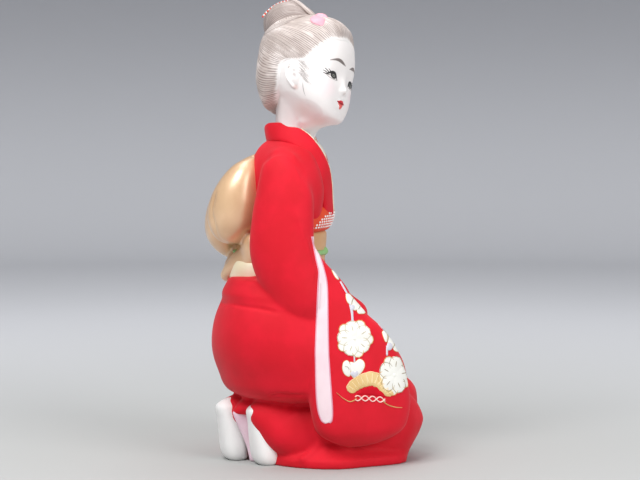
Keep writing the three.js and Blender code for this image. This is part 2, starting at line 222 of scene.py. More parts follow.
def joined(nets: Sequence[Net]) -> Net:
    """Several nets as one, each with its own points."""
    starts = np.cumsum([0, *[len(net.points) for net in nets]])
    return Net(
        points=np.concatenate([net.points for net in nets]),
        quads=np.concatenate([net.quads + start for net, start in zip(nets, starts)]),
        tris=np.concatenate([net.tris + start for net, start in zip(nets, starts)]),
    )


def grid(rows: int, columns: int, round_rows: bool = False, round_columns: bool = False) -> Array:
    """The faces of a grid of points that are laid out row by row.

    Args:
        rows: how many rows of points there are.
        columns: how many points a row has.
        round_rows: the last row meets the first.
        round_columns: a row's last point meets its first.

    Returns:
        Four point numbers for each face.
    """
    row = np.arange(rows if round_rows else rows - 1)[:, None]
    column = np.arange(columns if round_columns else columns - 1)[None, :]
    next_row, next_column = (row + 1) % rows, (column + 1) % columns
    corners = [
        row * columns + column,
        row * columns + next_column,
        next_row * columns + next_column,
        next_row * columns + column,
    ]
    return np.stack(np.broadcast_arrays(*corners), axis=-1).reshape(-1, 4)


@dataclass(frozen=True)
class Form:
    """A closed body of rounded sections.

    `section` gives the centre and the two half axes at shares from 0 to 1 of the way. `ends` are the shares of the
    way over which the two ends round off, and `square` is 2 for an ellipse and more for a fuller section.
    """

    section: Callable[[Array], tuple[Array, Array, Array]]
    ends: tuple[float, float] = (0.3, 0.3)
    square: float = 2.0

    def at(self, t: Array, angle: Array) -> Array:
        """Places on the surface.

        A place is the centre, plus one half axis times the cosine of the angle and the other times its sine, each
        raised to 2/square, and both shrunk to nothing towards the ends.

        Args:
            t: shares of the way.
            angle: angles round the section.

        Returns:
            Rows of three shares.
        """
        centre, across, over = self.section(t)
        size = dome(t, self.ends[0]) * dome(1 - t, self.ends[1])
        cosine, sine = (
            np.sign(v) * np.abs(v) ** (2 / self.square) for v in (np.cos(angle), np.sin(angle))
        )
        return centre + (size * cosine)[:, None] * across + (size * sine)[:, None] * over

    def net(self, rings: int = 56, sides: int = 72, swell: Callable[[Array, Array], Array] | None = None) -> Net:
        """The whole surface as a closed net.

        Args:
            rings: steps along the way, closer together towards the ends.
            sides: steps round a section.
            swell: how far the skin stands out, in shares, at shares of the way and angles.

        Returns:
            A net with one point at each end.
        """
        way = (1 - np.cos(np.pi * np.arange(1, rings) / rings)) / 2
        turn = 2 * np.pi * np.arange(sides) / sides
        t, angle = (v.ravel() for v in np.meshgrid(way, turn, indexing="ij"))
        skin = self.at(t, angle)
        if swell is not None:
            centre = self.section(t)[0]
            outward = skin - centre
            length = np.maximum(np.linalg.norm(outward, axis=1, keepdims=True), 1e-6)
            skin = skin + outward / length * swell(t, angle)[:, None]
        tips = self.section(np.array([0.0, 1.0]))[0]
        points = np.concatenate([skin, tips])
        first, last = len(skin), len(skin) + 1
        here = np.arange(sides)
        after = (here + 1) % sides
        end = (rings - 2) * sides
        tris = np.concatenate(
            [
                np.stack([np.full(sides, first), after, here], axis=1),
                np.stack([np.full(sides, last), end + here, end + after], axis=1),
            ]
        )
        net = Net(points=points, quads=grid(rings - 1, sides, round_columns=True), tris=tris)
        return net if volume(net) > 0 else net.flipped()

    def normal(self, t: Array, angle: Array) -> Array:
        """Directions out of the surface, from the cross product of two short steps on it."""
        step = 1e-3
        along = self.at(t + step, angle) - self.at(t - step, angle)
        around = self.at(t, angle + step) - self.at(t, angle - step)
        out = np.cross(along, around)
        out *= np.sign(np.sum(out * (self.at(t, angle) - self.section(t)[0]), axis=1))[:, None]
        return out / np.linalg.norm(out, axis=1, keepdims=True)


def volume(net: Net) -> float:
    """Six times the volume inside a closed net, below zero where its faces point inwards."""
    corners = np.concatenate([net.tris, net.quads[:, [0, 1, 2]], net.quads[:, [0, 2, 3]]])
    a, b, c = (net.points[corners[:, k]] for k in range(3))
    return float(np.sum(a * np.cross(b, c)))


def stack(poise: Poise, rows: Rows, lean: float = 0.0, **looks: float) -> Form:
    """A body of level sections.

    Args:
        poise: the frame that it stands in.
        rows: each row is a level and how far the outline reaches back, ahead, to the right and to the left.
        lean: raises the front of every section, in degrees.
        **looks: the form's ends and square.

    Returns:
        The form.
    """
    low, high = rows[0][0], rows[-1][0]
    rise = math.radians(lean)
    axes = poise.axes

    def section(t: Array) -> tuple[Array, Array, Array]:
        level = low + (high - low) * t
        back, front, right, left = smooth(rows, level).T
        centre = poise.out(np.stack([(right - left) / 2, (front - back) / 2, level], axis=1))
        across = ((front + back) / 2)[:, None] * (math.cos(rise) * axes[1] + math.sin(rise) * axes[2])
        over = ((right + left) / 2)[:, None] * axes[0]
        return centre, across, over

    return Form(section=section, **looks)


def limb(poise: Poise, rows: Rows, side: Sequence[float] = (1, 0, 0), **looks: float) -> Form:
    """A body along a path.

    Args:
        poise: the frame that it lies in.
        rows: each row is a place to the right, ahead and up, the half width towards `side` and the half width square
            to it, and where `side` changes on the way, its direction as three more numbers.
        side: the direction of the first half width.
        **looks: the form's ends and square.

    Returns:
        The form.
    """
    table = np.array([[*row, *side] if len(row) == 5 else row for row in rows], float)
    steps = np.linalg.norm(np.diff(table[:, :3], axis=0), axis=1)
    stations = np.column_stack([np.concatenate([[0.0], np.cumsum(steps)]), table])
    length = stations[-1, 0]
    axes = poise.axes

    def section(t: Array) -> tuple[Array, Array, Array]:
        at = np.clip(t, 0, 1) * length
        route = smooth(stations, at)
        ahead = smooth(stations, np.minimum(at + 0.02 * length, length))
        behind = smooth(stations, np.maximum(at - 0.02 * length, 0))
        tangent = (ahead - behind)[:, :3] @ axes
        tangent /= np.linalg.norm(tangent, axis=1, keepdims=True)
        over = route[:, 5:8] @ axes
        over -= np.sum(over * tangent, axis=1, keepdims=True) * tangent
        over /= np.linalg.norm(over, axis=1, keepdims=True)
        across = np.cross(tangent, over)
        return poise.out(route[:, :3]), across * route[:, 4:5], over * route[:, 3:4]

    return Form(section=section, **looks)


def mirrored(rows: Rows) -> list[list[float]]:
    """The rows of a limb on her other side."""
    return [[-row[0], *row[1:5], *(-v if k == 0 else v for k, v in enumerate(row[5:]))] for row in rows]


def shifted(rows: Rows, by: Sequence[float]) -> list[list[float]]:
    """The rows of a limb moved to the right, ahead and up."""
    return [[row[0] + by[0], row[1] + by[1], row[2] + by[2], *row[3:]] for row in rows]


def to_object(name: str, net: Net) -> bpy.types.Object:
    """A net in metres as an object at the origin, with smooth shading and its traits as attributes.

    Args:
        name: the object's name.
        net: points in metres in the part's frame.

    Returns:
        The object, linked to the scene.
    """
    mesh = bpy.data.meshes.new(name)
    mesh.from_pydata(net.points.tolist(), [], net.quads.tolist() + net.tris.tolist())
    for trait, values in net.traits.items():
        layer = mesh.attributes.new(trait, "FLOAT", "POINT")
        layer.data.foreach_set("value", np.ascontiguousarray(values, np.float32))
    mesh.polygons.foreach_set("use_smooth", np.ones(len(mesh.polygons), bool))
    mesh.update()
    made = bpy.data.objects.new(name, mesh)
    bpy.context.scene.collection.objects.link(made)
    return made


def settle(piece: bpy.types.Object) -> None:
    """Makes a piece's modifiers its mesh."""
    bpy.context.view_layer.update()
    shown = piece.evaluated_get(bpy.context.evaluated_depsgraph_get())
    mesh = bpy.data.meshes.new_from_object(shown)
    mesh.name = piece.name
    piece.modifiers.clear()
    piece.data = mesh
    mesh.polygons.foreach_set("use_smooth", np.ones(len(mesh.polygons), bool))


def places_of(piece: bpy.types.Object) -> Array:
    """The piece's points, in metres."""
    flat = np.empty(len(piece.data.vertices) * 3, np.float32)
    piece.data.vertices.foreach_get("co", flat)
    return flat.reshape(-1, 3).astype(float)


def normals_of(piece: bpy.types.Object) -> Array:
    """The directions out of the piece at its points."""
    flat = np.empty(len(piece.data.vertices) * 3, np.float32)
    piece.data.vertex_normals.foreach_get("vector", flat)
    return flat.reshape(-1, 3).astype(float)


def put_places(piece: bpy.types.Object, places: Array) -> None:
    """Moves the piece's points to these places, in metres."""
    piece.data.vertices.foreach_set("co", np.ascontiguousarray(places, np.float32).ravel())
    piece.data.update()


@dataclass(frozen=True)
class Crease:
    """A groove along a path on the clay, or a ridge where its depth is below nothing.

    The depth fades with the distance d from the path as 1 / (1 + (d / width) ** sharp), and towards both ends.
    """

    poise: Poise
    path: Rows
    width: float
    depth: float
    sharp: float = 4.0
    fade: float = 0.2
    flat: bool = False  # the same on both sides of the body, however far out the surface is there

    def pull(self, places: Array) -> Array:
        """How deep each place goes, in shares.

        Args:
            places: rows of three shares in the figure.

        Returns:
            One depth for each place.
        """
        steps = np.linspace(0, len(self.path) - 1, 24 * len(self.path))
        line = smooth([[k, *row] for k, row in enumerate(self.path)], steps)
        local = self.poise.into(places)
        if self.flat:
            outside = np.abs(local[:, 0]) > 40
            line, local = line[:, 1:], local[:, 1:]
        else:
            outside = np.ones(len(places), bool)
        reach = 4 * self.width
        near = outside & np.all((local > line.min(0) - reach) & (local < line.max(0) + reach), axis=1)
        depth = np.zeros(len(places))
        if not near.any():
            return depth
        gaps = np.linalg.norm(local[near][:, None, :] - line[None, :, :], axis=2)
        way = steps[gaps.argmin(axis=1)] / steps[-1]
        taper = ease(way / self.fade) * ease((1 - way) / self.fade) if self.fade else 1.0
        depth[near] = self.depth * taper / (1 + (gaps.min(axis=1) / self.width) ** self.sharp)
        return depth


@dataclass(frozen=True)
class Rub:
    """A place on the clay that is rubbed smooth, on both sides of the body, over `reach` shares around it."""

    poise: Poise
    spot: tuple[float, float, float]
    reach: float

    def share(self, places: Array) -> Array:
        """How much each place is rubbed, from 0 to 1."""
        local = self.poise.into(places)
        local[:, 0] = np.abs(local[:, 0])
        return ease(1.6 * (1 - np.linalg.norm(local - np.array(self.spot), axis=1) / self.reach))


@dataclass(frozen=True)
class Clay:
    """How forms are melted into one piece: the grid's step in millimetres and the number of softening passes."""

    step: float = 1.1
    passes: int = 6

    def melt(self, name: str, nets: Sequence[Net], scale: Scale) -> bpy.types.Object:
        """Several closed nets as one soft piece that stands on the ground.

        Args:
            name: the piece's name.
            nets: closed nets, in shares.
            scale: turns shares into metres.

        Returns:
            The piece.
        """
        whole = joined(nets)
        piece = to_object(name, whole.moved(scale.metres(whole.points)))
        melting = piece.modifiers.new("Melt", "REMESH")
        melting.mode = "VOXEL"
        melting.voxel_size = self.step * MM
        softening = piece.modifiers.new("Soften", "SMOOTH")
        softening.factor = 0.5
        softening.iterations = self.passes
        settle(piece)
        places = places_of(piece)
        places[:, 2] = np.maximum(places[:, 2], 0.0)
        put_places(piece, places)
        return piece


def carve(piece: bpy.types.Object, creases: Sequence[Crease], scale: Scale) -> None:
    """Presses creases into a piece, along its normals."""
    places, outward = places_of(piece), normals_of(piece)
    shares = scale.shares(places)
    depth = sum(crease.pull(shares) for crease in creases)
    put_places(piece, places - outward * (depth * scale.share)[:, None])


def rub(piece: bpy.types.Object, rubs: Sequence[Rub], passes: int, scale: Scale) -> None:
    """Draws a piece's points towards the mean of their neighbours, over and over, where it is rubbed."""
    places = places_of(piece)
    share = np.max([spot.share(scale.shares(places)) for spot in rubs], axis=0)[:, None] * 0.6
    pairs = np.empty(2 * len(piece.data.edges), np.int32)
    piece.data.edges.foreach_get("vertices", pairs)
    pairs = pairs.reshape(-1, 2)
    here, there = np.concatenate([pairs, pairs[:, ::-1]]).T
    count = np.maximum(np.bincount(here, minlength=len(places)), 1)
    for _ in range(passes):
        sums = [np.bincount(here, weights=places[there, k], minlength=len(places)) for k in range(3)]
        places += share * (np.stack(sums, axis=1) / count[:, None] - places)
    put_places(piece, places)


class Bump(Enum):
    """What the fine surface of a finish is like."""

    CLAY = "clay"
    SATIN = "satin"
    PLAIN = "plain"


@dataclass(frozen=True)
class Finish:
    """A paint on fired clay: its colour, how it varies, and its sheen."""

    name: str
    paint: Paint
    shade: Paint
    rough: float = 0.6
    gloss: float = 0.5
    metal: float = 0.0
    bump: Bump = Bump.CLAY
    blotch: float = 60.0
    relief: float = 0.05
    sheen: float = 0.0
    coat: float = 0.0
    worn: float = 0.0

    def make(self) -> bpy.types.Material:
        """The finish as a material: two tones in soft blotches, fine grain in height and roughness."""
        made = bpy.data.materials.new(self.name)
        made.use_nodes = True
        kit = Nodes(made)
        shader = kit.shader
        shader.inputs["Metallic"].default_value = self.metal
        shader.inputs["Specular IOR Level"].default_value = self.gloss
        shader.inputs["Sheen Weight"].default_value = self.sheen
        shader.inputs["Coat Weight"].default_value = self.coat
        shader.inputs["Coat Roughness"].default_value = 0.3
        tone = kit.blend(kit.noise(self.blotch, 3.0), self.shade, self.paint, 0.35, 0.65)
        if self.worn:
            tone = kit.mix(kit.ramp(kit.pointed(), 0.52, 0.6, self.worn), tone, kit.lighter(self.paint))
        kit.join(self.tinted(kit, tone), shader.inputs["Base Color"])
        grain = kit.noise(2200.0, 2.0)
        kit.join(kit.spread(grain, self.rough - 0.06, self.rough + 0.06), shader.inputs["Roughness"])
        if self.bump is not Bump.PLAIN:
            stretch = (1.0, 1.0, 0.06) if self.bump is Bump.SATIN else (1.0, 1.0, 1.0)
            height = kit.noise(1400.0, 3.0, stretch)
            kit.join(kit.raised(height, self.relief * MM), shader.inputs["Normal"])
        return made

    def tinted(self, kit: Nodes, tone: bpy.types.NodeSocket) -> bpy.types.NodeSocket:
        """The finish's colour, with nothing added."""
        return tone


class Nodes:
    """Short ways to add a material's nodes."""

    def __init__(self, material: bpy.types.Material) -> None:
        """Starts from the material's own shader.

        Args:
            material: a material that uses nodes.
        """
        self.tree = material.node_tree
        self.shader = self.tree.nodes["Principled BSDF"]
        self.place = self.tree.nodes.new("ShaderNodeTexCoord").outputs["Object"]

    def join(self, source: bpy.types.NodeSocket, target: bpy.types.NodeSocket) -> None:
        """Links two sockets."""
        self.tree.links.new(source, target)

    def stretched(self, stretch: Sequence[float]) -> bpy.types.NodeSocket:
        """The piece's own coordinates, stretched along its axes."""
        mapping = self.tree.nodes.new("ShaderNodeMapping")
        mapping.inputs["Scale"].default_value = stretch
        self.join(self.place, mapping.inputs["Vector"])
        return mapping.outputs["Vector"]

    def noise(self, size: float, detail: float, stretch: Sequence[float] = (1, 1, 1)) -> bpy.types.NodeSocket:
        """Noise with `size` cells in a metre."""
        node = self.tree.nodes.new("ShaderNodeTexNoise")
        node.inputs["Scale"].default_value = size
        node.inputs["Detail"].default_value = detail
        self.join(self.stretched(stretch), node.inputs["Vector"])
        return node.outputs["Fac"]

    def spread(self, value: bpy.types.NodeSocket, low: float, high: float) -> bpy.types.NodeSocket:
        """A value from 0 to 1 spread from `low` to `high`."""
        node = self.tree.nodes.new("ShaderNodeMapRange")
        node.inputs["To Min"].default_value = low
        node.inputs["To Max"].default_value = high
        self.join(value, node.inputs["Value"])
        return node.outputs["Result"]

    def ramp(
        self, value: bpy.types.NodeSocket, start: float, stop: float, top: float = 1.0
    ) -> bpy.types.NodeSocket:
        """A value eased from 0 at `start` to `top` at `stop`."""
        node = self.tree.nodes.new("ShaderNodeMapRange")
        node.interpolation_type = "SMOOTHSTEP"
        node.inputs["From Min"].default_value = start
        node.inputs["From Max"].default_value = stop
        node.inputs["To Max"].default_value = top
        self.join(value, node.inputs["Value"])
        return node.outputs["Result"]

    def mix(
        self,
        share: bpy.types.NodeSocket,
        low: bpy.types.NodeSocket | Paint,
        high: bpy.types.NodeSocket | Paint,
    ) -> bpy.types.NodeSocket:
        """Two colours mixed by a share."""
        node = self.tree.nodes.new("ShaderNodeMix")
        node.data_type = "RGBA"
        self.join(share, node.inputs["Factor"])
        for name, colour in (("A", low), ("B", high)):
            socket = next(s for s in node.inputs if s.name == name and s.type == "RGBA")
            if isinstance(colour, tuple):
                socket.default_value = (*colour, 1.0)
            else:
                self.join(colour, socket)
        return next(s for s in node.outputs if s.type == "RGBA")

    def blend(
        self, value: bpy.types.NodeSocket, low: Paint, high: Paint, start: float, stop: float
    ) -> bpy.types.NodeSocket:
        """Two colours mixed as a value goes from `start` to `stop`."""
        return self.mix(self.ramp(value, start, stop), low, high)

    def raised(self, height: bpy.types.NodeSocket, distance: float) -> bpy.types.NodeSocket:
        """The surface's direction with a height laid on it, `distance` metres high."""
        node = self.tree.nodes.new("ShaderNodeBump")
        node.inputs["Distance"].default_value = distance
        node.inputs["Strength"].default_value = 1.0
        self.join(height, node.inputs["Height"])
        return node.outputs["Normal"]

    def pointed(self) -> bpy.types.NodeSocket:
        """How sharply the surface stands out: above a half on ridges."""
        return self.tree.nodes.new("ShaderNodeNewGeometry").outputs["Pointiness"]

    def near(self, spot: Array, reach: float) -> bpy.types.NodeSocket:
        """A value that falls from 1 at a spot to 0 at `reach` metres from it."""
        node = self.tree.nodes.new("ShaderNodeVectorMath")
        node.operation = "DISTANCE"
        node.inputs[1].default_value = spot
        self.join(self.place, node.inputs[0])
        fall = self.tree.nodes.new("ShaderNodeMapRange")
        fall.interpolation_type = "SMOOTHSTEP"
        fall.inputs["From Max"].default_value = reach
        fall.inputs["To Min"].default_value = 1.0
        fall.inputs["To Max"].default_value = 0.0
        self.join(node.outputs["Value"], fall.inputs["Value"])
        return fall.outputs["Result"]

    def trait(self, name: str) -> bpy.types.NodeSocket:
        """A value that the piece holds at each point."""
        node = self.tree.nodes.new("ShaderNodeAttribute")
        node.attribute_name = name
        return node.outputs["Fac"]

    def vector(self, x: bpy.types.NodeSocket, y: bpy.types.NodeSocket) -> bpy.types.NodeSocket:
        """Two values as the first two of a vector."""
        node = self.tree.nodes.new("ShaderNodeCombineXYZ")
        self.join(x, node.inputs["X"])
        self.join(y, node.inputs["Y"])
        return node.outputs["Vector"]

    def noise_of(self, place: bpy.types.NodeSocket, size: float, detail: float) -> bpy.types.NodeSocket:
        """Noise at a place that isn't the piece's own."""
        node = self.tree.nodes.new("ShaderNodeTexNoise")
        node.inputs["Scale"].default_value = size
        node.inputs["Detail"].default_value = detail
        self.join(place, node.inputs["Vector"])
        return node.outputs["Fac"]

    def sum_of(self, kind: str, one: bpy.types.NodeSocket, other: bpy.types.NodeSocket | float) -> bpy.types.NodeSocket:
        """One arithmetic step on two values."""
        node = self.tree.nodes.new("ShaderNodeMath")
        node.operation = kind
        self.join(one, node.inputs[0])
        if isinstance(other, float):
            node.inputs[1].default_value = other
        else:
            self.join(other, node.inputs[1])
        return node.outputs["Value"]

    def times(self, one: bpy.types.NodeSocket, other: bpy.types.NodeSocket | float) -> bpy.types.NodeSocket:
        """The product of two values."""
        return self.sum_of("MULTIPLY", one, other)

    def minus(self, one: bpy.types.NodeSocket, other: bpy.types.NodeSocket | float) -> bpy.types.NodeSocket:
        """The first value less the second."""
        return self.sum_of("SUBTRACT", one, other)

    def fraction(self, value: bpy.types.NodeSocket) -> bpy.types.NodeSocket:
        """What a value has over its whole number."""
        return self.sum_of("FLOORED_MODULO", value, 1.0)

    def apart(self, value: bpy.types.NodeSocket, middle: float) -> bpy.types.NodeSocket:
        """How far a value is from a middle."""
        node = self.tree.nodes.new("ShaderNodeMath")
        node.operation = "ABSOLUTE"
        self.join(self.minus(value, middle), node.inputs[0])
        return node.outputs["Value"]

    @staticmethod
    def lighter(paint: Paint) -> Paint:
        """The paint where it is rubbed thin."""
        return tuple(min(1.0, 0.75 * v + 0.2) for v in paint)


@dataclass(frozen=True)
class BlushAndShade:
    """A breath of another paint on a finish, used for blush and for painted shade, strongest at a spot in metres and
    gone at `reach` metres from it.
    """

    spot: tuple[float, float, float]
    reach: float
    paint: Paint
    strength: float


@dataclass(frozen=True)
class BlushedAndShaded(Finish):
    """A finish with breaths of other paints on it, which lay blush and painted shade."""

    blush_and_shade_spots: tuple[BlushAndShade, ...] = ()

    def tinted(self, kit: Nodes, tone: bpy.types.NodeSocket) -> bpy.types.NodeSocket:
        """The colour with every breath of blush and painted shade laid on it in turn."""
        for dab in self.blush_and_shade_spots:
            share = kit.times(kit.near(dab.spot, dab.reach), dab.strength)
            tone = kit.mix(share, tone, dab.paint)
        return tone


@dataclass(frozen=True)
class Combed(Finish):
    """Painted hair: dark lines along its strands, which fray out into the skin's paint where they begin."""

    line: Paint = (0.0, 0.0, 0.0)
    bare: Paint = (1.0, 1.0, 1.0)

    def tinted(self, kit: Nodes, tone: bpy.types.NodeSocket) -> bpy.types.NodeSocket:
        """The colour with lines along the strands.

        A line is dark by how far its strand's number is from a whole one, and by noise that is stretched along it.
        Near the hairline each strand starts at its own height.
        """
        strand, along = kit.trait("strand"), kit.trait("along")
        streak = kit.noise_of(kit.vector(kit.times(strand, 0.9), kit.times(along, 5.0)), 1.0, 2.0)
        broad = kit.noise_of(kit.vector(kit.times(strand, 0.16), kit.times(along, 1.6)), 1.0, 1.0)
        edge = kit.ramp(kit.apart(kit.fraction(strand), 0.5), 0.18, 0.4)
        dark = kit.times(edge, kit.ramp(streak, 0.3, 0.56))
        tone = kit.mix(kit.ramp(broad, 0.38, 0.64, 0.8), tone, self.shade)
        tone = kit.mix(kit.times(dark, 0.85), tone, self.line)
        start = kit.noise_of(kit.vector(kit.times(strand, 1.3), kit.times(along, 0.0)), 1.0, 2.0)
        cover = kit.ramp(kit.minus(along, kit.spread(start, -0.02, 0.16)), 0.0, 0.07)
        return kit.mix(cover, self.bare, tone)


def dressed(piece: bpy.types.Object, finish: bpy.types.Material, slot: str) -> bpy.types.Object:
    """Gives a piece its finish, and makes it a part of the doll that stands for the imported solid."""
    piece.data.materials.clear()
    piece.data.materials.append(finish)
    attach(piece, BODY)
    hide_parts(NODE)
    LOG.info("%s: %d faces", piece.name, len(piece.data.polygons))
    return piece


def tint(red: int, green: int, blue: int) -> Paint:
    """A paint from its screen values, from 0 to 255, as light."""
    return tuple(v / 12.92 if v <= 0.04045 else ((v + 0.055) / 1.055) ** 2.4 for v in (red / 255, green / 255, blue / 255))


RED = Finish("Red paint", tint(218, 6, 36), tint(209, 3, 30), rough=0.7, gloss=0.3, sheen=0.08)
DEEP_RED = Finish("Deep red paint", tint(212, 4, 36), tint(196, 2, 30), rough=0.7, gloss=0.2)
PINK = Finish("Pink lining paint", tint(245, 216, 228), tint(236, 202, 216), rough=0.65)
# darker pink laid along both edges of the sleeve's pale strip as painted shade
PINK_EDGE_SHADE = Finish("Pink painted edge shade", tint(226, 160, 178), tint(218, 148, 168), rough=0.65)
STRIP_PINK = Finish("Pale pink paint", tint(243, 220, 225), tint(238, 211, 218), rough=0.65)
CREAM = Finish("Cream paint", tint(244, 234, 206), tint(236, 224, 190), rough=0.6)
TAN = Finish("Tan paint", tint(212, 170, 124), tint(204, 160, 112), rough=0.5)
SATIN = Finish(
    "Satin gold paint",
    tint(226, 186, 142),
    tint(216, 174, 130),
    rough=0.36,
    gloss=1.0,
    metal=0.2,
    bump=Bump.SATIN,
    relief=0.05,
    coat=1.0,
)
GOLD = Finish("Gold paint", tint(222, 178, 116), tint(206, 158, 96), rough=0.4, metal=0.15)
BOUGH_GOLD = Finish("Bough gold paint", tint(231, 200, 140), tint(222, 186, 122), rough=0.42, metal=0.12)
PALE_GOLD = Finish("Pale gold paint", tint(250, 232, 188), tint(244, 220, 170), rough=0.45, metal=0.1)
INK_GOLD = Finish("Dull gold paint", tint(164, 148, 118), tint(140, 124, 96), rough=0.5)
FAINT_GOLD = Finish("Faint gold paint", tint(200, 190, 160), tint(188, 176, 146), rough=0.5)
ORANGE = Finish("Orange paint", tint(232, 80, 34), tint(222, 62, 28), rough=0.6)
GREEN = Finish("Green paint", tint(150, 204, 132), tint(134, 194, 118), rough=0.55)
SCARF_RIM = Finish("Red-brown paint", tint(176, 52, 34), tint(164, 44, 28), rough=0.6)
TIE_RED = Finish("Orange-red paint", tint(232, 92, 64), tint(222, 78, 52), rough=0.5)
WHITE = Finish("White paint", tint(245, 244, 242), tint(239, 238, 236), rough=0.6)
BLOSSOM = Finish("Blossom paint", tint(241, 240, 233), tint(236, 234, 226), rough=0.55)
CALYX = Finish("Pale grey paint", tint(214, 212, 222), tint(206, 204, 214), rough=0.55)
LOOPS = Finish("Pale rose paint", tint(252, 222, 214), tint(246, 206, 196), rough=0.5)
SKIN = BlushedAndShaded("White clay paint", tint(240, 235, 232), tint(237, 231, 228), rough=0.5, relief=0.02)
ROSE = Finish("Rose paint", tint(238, 176, 188), tint(230, 160, 176), rough=0.5)
HAIR = Combed(
    "Hair paint",
    tint(230, 220, 215),
    tint(190, 176, 169),
    rough=0.6,
    line=tint(134, 118, 112),
    bare=tint(243, 238, 235),
    relief=0.02,
)
KNOT_HAIR = replace(
    HAIR, name="Hair knot paint", paint=tint(196, 182, 177), shade=tint(166, 152, 146), line=tint(120, 106, 100)
)
INK = Finish("Black face paint", tint(44, 42, 42), tint(34, 32, 32), rough=0.35)
GREY_INK = Finish("Grey face paint", tint(132, 122, 118), tint(118, 108, 104), rough=0.5)
EYE_GREY = Finish("Eye shade paint", tint(172, 166, 162), tint(160, 154, 150), rough=0.5)
TEMPLE_GREY = Finish("Temple hair paint", tint(186, 179, 176), tint(168, 161, 158), rough=0.55)
SOFT_GREY = Finish("Pale grey face paint", tint(206, 198, 194), tint(198, 190, 186), rough=0.5)
PUPIL_GREY = Finish("Iris paint", tint(128, 128, 120), tint(106, 106, 100), rough=0.3)
LIP = Finish("Lip paint", tint(208, 26, 46), tint(198, 18, 38), rough=0.4)
LIP_LIGHT = Finish("Light lip paint", tint(228, 104, 96), tint(220, 88, 82), rough=0.4)
LIP_DARK = Finish("Dark lip paint", tint(140, 0, 14), tint(120, 0, 10), rough=0.45)


def closed_line(outline: Rows, count: int) -> Array:
    """A smooth closed line through corners.

    Args:
        outline: corners in order.
        count: how many places to give.

    Returns:
        Places on the line, evenly spread over the corners.
    """
    corners = np.asarray(outline, float)
    around = np.arange(-1, len(corners) + 2)
    table = np.column_stack([around, corners[around % len(corners)]])
    return smooth(table, np.arange(count) * len(corners) / count)


def fan(first: int, count: int, tip: int, flip: bool) -> Array:
    """Faces from a ring of points to a tip."""
    here = np.arange(count)
    after = (here + 1) % count
    ring = (after, here) if flip else (here, after)
    return np.stack([first + ring[0], first + ring[1], np.full(count, tip)], axis=1)


def pad(outline: Array, thick: float, middle: Sequence[float] | None = None, rings: int = 7) -> Net:
    """A thin rounded pad inside a closed outline: a sketch whose third numbers are lifts over the surface.

    Its lift is `thick` times one less the fourth power of the share of the way out, and its rim goes a little below
    the surface, where it is closed.

    Args:
        outline: places round the pad.
        thick: lift in the middle, in millimetres.
        middle: the place that every ring shrinks to, or None for the outline's mean.
        rings: steps from the middle out.

    Returns:
        The sketch.
    """
    core = np.asarray(outline.mean(axis=0) if middle is None else middle, float)
    count = len(outline)
    shares = np.arange(1, rings + 1) / rings
    marks = [core + (outline - core) * share for share in shares]
    lifts = [np.full(count, 0.1 + (thick - 0.1) * (1 - share**4)) for share in shares]
    marks.append(outline)
    lifts.append(np.full(count, -0.25))
    points = np.column_stack([np.concatenate(marks), np.concatenate(lifts)])
    tips = [[*core, thick], [*core, -0.25]]
    last = len(points)
    tris = np.concatenate([fan(0, count, last, False), fan(rings * count, count, last + 1, True)])
    quads = grid(rings + 1, count, round_columns=True)
    return Net(points=np.concatenate([points, tips]), quads=quads[:, ::-1], tris=tris)


def stroke(rows: Rows, thick: float = 0.25, step: float = 0.5, columns: int = 5) -> Net:
    """A brush stroke along a path, as a sketch.

    Args:
        rows: places on the path with the half width there.
        thick: lift along its middle, in millimetres.
        step: how far apart its sections are, in the unit of the places.
        columns: points across it.

    Returns:
        The sketch.
    """
    table = np.asarray(rows, float)
    spans = np.linalg.norm(np.diff(table[:, :2], axis=0), axis=1)
    stations = np.column_stack([np.concatenate([[0.0], np.cumsum(spans)]), table])
    count = max(6, math.ceil(stations[-1, 0] / step))
    at = np.linspace(0, stations[-1, 0], count + 1)
    route = smooth(stations, at)
    ways = np.gradient(route[:, :2], axis=0)
    ways /= np.linalg.norm(ways, axis=1, keepdims=True)
    across = np.column_stack([-ways[:, 1], ways[:, 0]])
    sides = np.linspace(-1, 1, columns)
    profile = [(-1.0, -0.25), *zip(sides, thick * (1 - 0.5 * sides**4)), (1.0, -0.25)]
    lines = []
    for side, lift in profile:
        marks = route[:, :2] + across * (side * np.maximum(route[:, 2:3], 0.02))
        lines.append(np.column_stack([marks, np.full(len(marks), lift)]))
    skin = np.stack(lines, axis=1).reshape(-1, 3)
    sides = len(profile)
    tips = [[*route[0, :2], -0.2], [*route[-1, :2], -0.2]]
    last = len(skin)
    tris = np.concatenate([fan(0, sides, last, True), fan(count * sides, sides, last + 1, False)])
    quads = grid(count + 1, sides, round_columns=True)
    return Net(points=np.concatenate([skin, tips]), quads=quads, tris=tris)


def moved(sketch: Net, across: float, above: float, size: float = 1.0, turn: float = 0.0, squash: float = 1.0) -> Net:
    """A sketch made larger, squashed across, turned by degrees and moved."""
    x, y, lift = sketch.points.T
    x, y = x * size * squash, y * size
    cosine, sine = math.cos(math.radians(turn)), math.sin(math.radians(turn))
    return sketch.moved(np.column_stack([across + x * cosine - y * sine, above + x * sine + y * cosine, lift]))


